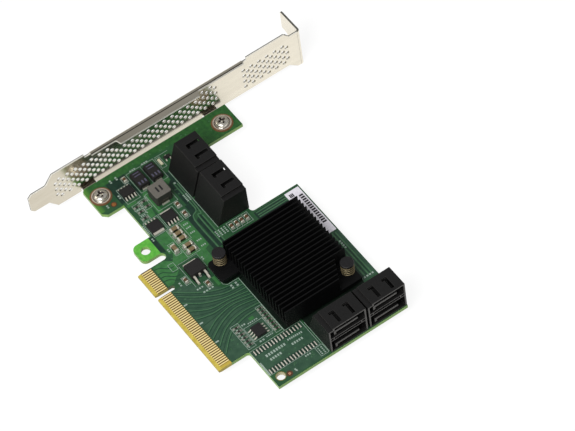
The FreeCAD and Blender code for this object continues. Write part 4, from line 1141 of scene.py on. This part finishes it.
bar_rows = [
    (3.9, 23.4, 3.9, 26.2, 3, 0.7), (3.9, 28.6, 3.9, 31.6, 3, 0.7), (2.4, 17.9, 4.4, 17.9, 2, 0.7),
    (2.4, 15.4, 4.4, 15.4, 2, 0.7), (10.2, 14.2, 12.4, 14.2, 2, 0.7), (11.4, 8.4, 13.2, 8.4, 2, 0.7),
    (42.0, 15.0, 43.8, 15.0, 2, 0.65), (34.4, 13.2, 36.2, 13.2, 2, 0.65), (52.4, 22.9, 54.4, 22.9, 2, 0.65),
    (57.0, 10.0, 59.2, 10.0, 2, 0.65), (63.9, 13.2, 63.9, 16.2, 3, 0.65), (66.3, 14.4, 66.3, 19.2, 4, 0.7),
    (86.9, 17.0, 86.9, 18.8, 2, 0.7), (96.6, 18.2, 96.6, 20.6, 2, 0.7), (85.8, 14.9, 96.6, 14.2, 9, 0.6),
    (103.1, 16.4, 102.9, 25.2, 8, 1.15), (102.1, 26.4, 102.4, 32.8, 8, 0.8),
    (105.3, 16.8, 105.2, 22.0, 5, 1.0), (104.6, 26.6, 104.6, 31.6, 5, 0.95),
    (88.6, 25.6, 95.4, 25.6, 8, 0.5), (87.6, 19.2, 87.6, 23.6, 5, 0.5), (96.3, 21.4, 96.3, 24.4, 4, 0.5),
    (17.2, 18.4, 24.0, 18.4, 8, 0.5),
    (23.8, 15.4, 23.8, 17.6, 3, 0.5), (20.4, 14.9, 20.4, 17.4, 3, 0.5), (27.6, 13.7, 32.6, 13.7, 6, 0.5),
    (16.6, 21.6, 19.4, 21.6, 4, 0.5), (111.8, 27.4, 111.8, 30.0, 3, 0.7), (78.0, 66.2, 82.6, 66.2, 4, 0.7),
    (97.2, 61.0, 97.2, 68.0, 6, 0.7), (18.2, 33.8, 19.4, 33.8, 1, 0.7),
]
bar_rows += [(x, 25.4, x, 27.6, 3, 0.7) for x in (36.9, 38.8, 41.5, 45.8, 48.7)]
bar_rows += [(25.2, y, 29.0, y, 5, 0.65) for y in (33.2, 34.3)]
bar_rows += [(46.3, y, 49.7, y, 4, 0.6) for y in (33.1, 34.4, 35.7, 36.9)]
bar_rows += [(69.4, y, 71.8, y, 2, 0.8) for y in (24.2, 26.2)]
bar_rows += [(111.6, y, 115.0, y, 4, 0.5) for y in (33.0, 34.3)]


def print_marks():
    shape = Shape()
    for x0, x1, y0, y1 in part_boxes:
        shape.outline(at(x0), at(x1), y0, y1, silk_line)
    for points in thin_lines:
        shape.ribbon(from_edge(points), silk_line, print_rise)
    for x0, y0, x1, y1, width in wide_lines:
        shape.ribbon(from_edge([(x0, y0), (x1, y1)]), width, print_rise)
    for x0, y0, x1, y1, count, height in bar_rows:
        along = Vector((x1 - x0, y1 - y0))
        half = along / count * bar_share / 2
        for n in range(count):
            middle = Vector((x0, y0)) + along * ((n + 0.5) / count)
            shape.ribbon(from_edge([middle - half, middle + half]), height, print_rise)
    shape.piece("white_print", silk_mat, "white_paper")


print_marks()


# Plated holes, bare copper dots and small marks
plating = 0.05
hole_ring = (1.66, 1.95)
dot_rim = 1.2
mark_rise = 0.02


def plated_details():
    gold, ring = Shape(), Shape()
    for low in (top_z, bottom_z - plating):
        gold.washer(*corner_hole, *hole_ring, low, low + plating, 40)
    gold.piece("corner_ring", plating_mat, "gold_plating")
    for name, x, y, radius, material in (
        ("rear_dot", 114.3, 19.1, 0.5, pale_dot_mat),
        ("front_dot", 12.8, 10.8, 0.8, dot_mat),
    ):
        copper = Shape()
        dome = [(radius, top_z), (radius, top_z + plating), (radius * 0.6, top_z + 0.08)]
        copper.lathe(dome, at(x), y, 24)
        copper.piece(name, material, "gold_plating")
        ring.washer(at(x), y, radius, dot_rim, top_z, top_z + 0.045, 32)
    ring.piece("dot_rings", ring_mat, "green_board")


def chip_marks():
    """Plain bars on the capacitors and the inductor, a dot beside the first lead of each chip."""
    marks, dots = Shape(), Shape()
    for number in (1, 2):
        low, high = box_mm("polymer_capacitor_%d" % number)
        middle_y = (low.y + high.y) / 2
        for share in (0.16, 0.33):
            marks.tile(low.x + share * (high.x - low.x), middle_y, 0.22, 1.3, high.z, mark_rise)
        for row in (-1.35, 0.0, 1.35):
            marks.tile(high.x - 1.5, middle_y + row, 0.75, 0.3, high.z, mark_rise)
    low, high = box_mm("power_inductor")
    middle = (low + high) / 2
    for row in (-0.8, 0.8):
        dots.tile(middle.x, middle.y + row, 1.3, 0.35, high.z, mark_rise)
    for chip in chips:
        low, high = box_mm(chip)
        dots.washer(low.x + 0.85, high.y - 0.85, 0.12, 0.38, high.z, high.z + 0.015, 20)
    marks.piece("capacitor_marks", mark_mat, "chip_plastic")
    dots.piece("moulded_dots", black_mat, "chip_plastic")


def small_transistor():
    """Three-lead part between the lamp and the front sockets."""
    body, leads = Shape(), Shape()
    x, y = at(7.2), 38.2
    body.pillow(Vector((x - 0.7, y - 1.3, top_z + 0.1)), Vector((x + 0.7, y + 1.3, top_z + 1.05)), 0.15)
    bent = [
        (0.65, 0.35), (0.65, 0.55), (0.95, 0.5), (1.1, 0.15),
        (1.45, 0.15), (1.45, 0.0), (1.0, 0.0), (0.85, 0.35),
    ]
    lead_half = 0.22
    for side, row in ((1, -0.9), (1, 0.9), (-1, 0.0)):
        outline = [(x + side * u, top_z + v) for u, v in bent]
        leads.prism(outline, y + row - lead_half, y + row + lead_half, ON_XZ)
    body.piece("transistor_body", chip_mat, "chip_plastic")
    leads.piece("transistor_leads", tin_mat, "tinned_leads")


def label_print():
    low, high = box_mm("blank_label")
    shape = Shape()
    ink_z = high.z + 0.01
    middle_y = high.y - 1.35
    for n in range(14):
        x = low.x + 3.6 + n * 1.16
        shape.block(x, x + 0.8, middle_y - 0.85, middle_y + 0.85, high.z, ink_z)
    for n in range(3):
        y = low.y + 1.0 + n * 0.62
        shape.block(low.x + 1.3, low.x + 3.0, y, y + 0.5, high.z, ink_z)
    shape.piece("label_bars", ink_mat, "white_paper")


plated_details()
chip_marks()
small_transistor()
label_print()


# Sockets: solder on the pins behind the board, and ribs that part the groove between the openings
socket_pins = 7
socket_pin_pitch = 1.27
socket_pin_rows = (2.0, 4.2, 8.6, 10.8)
solder_profile = ((0.12, 0.75), (0.2, 0.6), (0.3, 0.3), (0.52, 0.06), (0.55, 0.0))
groove_drop = 6.45
groove_height = 0.9
rib_places = (1.75, 13.7)
rib_width = 0.35
rib_depth = (1.0, 0.05)


def solder_joints():
    shape = Shape()
    profile = [(radius, bottom_z - drop) for radius, drop in solder_profile]
    for name in socket_names:
        low, high = box_mm(name)
        middle = (low + high) / 2
        for row, depth in enumerate(socket_pin_rows):
            for n in range(socket_pins):
                offset = (n - (socket_pins - 1) / 2 + 0.25 * (row % 2)) * socket_pin_pitch
                x, y = low.x + depth, middle.y + offset
                if name.startswith("front"):
                    x, y = middle.x + offset, low.y + depth
                shape.lathe(profile, x, y, 10)
    shape.piece("solder_joints", solder_mat, "tinned_leads")


def socket_ribs():
    shape = Shape()
    back, front = rib_depth
    for name in socket_names:
        low, high = box_mm(name)
        groove_low = high.z - groove_drop
        for place in rib_places:
            span = (high.x - back, high.x - front, low.y + place, low.y + place + rib_width)
            if name.startswith("front"):
                span = (high.x - place - rib_width, high.x - place, high.y - back, high.y - front)
            shape.block(*span, groove_low, groove_low + groove_height)
    # The ribs take the lighter front finish: painted light.
    shape.piece("groove_ribs", lit_front_mat, "socket_plastic")


solder_joints()
socket_ribs()


# Finishes of the solids that stay, with softened edges on the moulded and extruded ones
front_depth = 0.6
slot_roof = (0.65, 0.05)
slot_inset = 2.2
finishes = {
    "board": resist_mat,
    "edge_contacts": finger_mat,
    "heatsink": anodised_mat,
    "thermal_pad": pad_mat,
    "push_pin": pin_mat,
    "rear_socket": socket_mat,
    "front_socket": socket_mat,
    "power_inductor": inductor_mat,
    "status_lamp": lamp_mat,
    "blank_label": label_mat,
}
finishes.update(dict.fromkeys(chips + ("controller_chip", "polymer_capacitor"), chip_mat))
endings = {
    "_leads": tin_mat,
    "_tab": tin_mat,
    "_terminals": terminal_mat,
    "_contacts": gold_mat,
}


def soften(name, width, flatten=True):
    """Bevelled edges. Thin frames keep their triangles, because one flattened face would close them."""
    piece = nodes[name]
    weld = piece.modifiers.new("weld", "WELD")
    weld.merge_threshold = 0.002 * MM
    if flatten:
        flat = piece.modifiers.new("flat", "DECIMATE")
        flat.decimate_type = "DISSOLVE"
        flat.angle_limit = math.radians(0.5)
    bevel = piece.modifiers.new("bevel", "BEVEL")
    bevel.width = width * MM
    bevel.segments = 2
    bevel.limit_method = "ANGLE"
    bevel.angle_limit = math.radians(30)
    bevel.harden_normals = True


def finish_socket(name):
    """Painted light on the front faces and a painted highlight on the bevelled edges, and painted shade on
    the walls in the latch slots.
    """
    mesh = nodes[name].data
    low, high = box_mm(name)
    depth, width = (0, 1) if name.startswith("rear") else (1, 0)
    for material in (lit_front_mat, slot_shade_mat, edge_highlight_mat):
        mesh.materials.append(material)
    for face in mesh.polygons:
        centre = face.center / MM
        inside = min(centre[width] - low[width], high[width] - centre[width])
        in_roof = high.z - slot_roof[0] < centre.z < high.z - slot_roof[1]
        if face.normal[depth] > 0.9 and centre[depth] > high[depth] - front_depth:
            face.material_index = 1
        # Walls in the latch slots: painted shade.
        elif in_roof and abs(face.normal.z) < 0.3 and inside > slot_inset:
            face.material_index = 2
    soften(name, 0.12, flatten=False)
    nodes[name].modifiers["bevel"].material = 3


for name in nodes:
    kind = next((key for key in finishes if name.startswith(key)), None)
    if kind is None:
        continue
    ending = next((key for key in endings if name.endswith(key)), None)
    material = endings[ending] if ending else finishes[kind]
    mesh = nodes[name].data
    mesh.materials.clear()
    mesh.materials.append(material)
for name in socket_names:
    finish_socket(name)
for name in ("heatsink", *flat_chips):
    soften(name, 0.08)
for name in ("linear_regulator", "power_inductor", "polymer_capacitor_1", "polymer_capacitor_2"):
    soften(name, 0.15)


# Stage: pale floor, soft light and the camera
def stage():
    floor_z = cad_box[0][2]
    half = 3.0
    corners = [(x, y, floor_z) for x, y in rectangle(-half, half, -half, half)]
    mesh = bpy.data.meshes.new("floor")
    mesh.from_pydata(corners, [], [(0, 1, 2, 3)])
    floor = bpy.data.objects.new("floor", mesh)
    bpy.context.scene.collection.objects.link(floor)
    finish = Finish("pale_floor")
    path = finish.add("LightPath", {}).outputs
    seen = finish.math("MAXIMUM", path["Is Camera Ray"], path["Is Glossy Ray"])
    seen = finish.math("MAXIMUM", seen, path["Is Transmission Ray"])
    finish.put(finish.shader, {
        "Base Color": (0.18, 0.18, 0.18, 1.0), "Roughness": 0.9, "Specular IOR Level": 0.0,
        "Emission Color": (1.0, 1.0, 1.0, 1.0), "Emission Strength": finish.math("MULTIPLY", seen, 0.88),
    })
    mesh.materials.append(finish.material)

    world = bpy.data.worlds.new("studio")
    bpy.context.scene.world = world
    world.use_nodes = True
    sky = world.node_tree.nodes["Background"]
    sky.inputs["Color"].default_value = (1.0, 1.0, 1.0, 1.0)
    sky.inputs["Strength"].default_value = 0.3

    lamp = bpy.data.lights.new("softbox", "AREA")
    lamp.size = 0.7
    lamp.energy = 13.0
    softbox = bpy.data.objects.new("softbox", lamp)
    softbox.location = (0.35, -0.6, 0.95)
    softbox.rotation_euler = (Vector((0, 0.03, 0)) - softbox.location).to_track_quat("-Z", "Y").to_euler()
    bpy.context.scene.collection.objects.link(softbox)


def camera():
    """View of the photograph: its place and axes in the part's frame."""
    spot = Vector((0.6842, -0.2971, 1.0384))
    look = Vector((-0.5295, 0.2746, -0.8026)).normalized()
    right = Vector((0.5686, 0.8170, -0.0956)).normalized()
    up = right.cross(look)
    lens = bpy.data.cameras.new("camera")
    lens.sensor_width = 36.0
    lens.lens = 222.4
    lens.clip_end = 20.0
    holder = bpy.data.objects.new("camera", lens)
    holder.matrix_world = Matrix.Translation(spot) @ Matrix((right, up, -look)).transposed().to_4x4()
    bpy.context.scene.collection.objects.link(holder)
    bpy.context.scene.camera = holder


stage()
camera()
bpy.context.scene.view_settings.view_transform = "Standard"
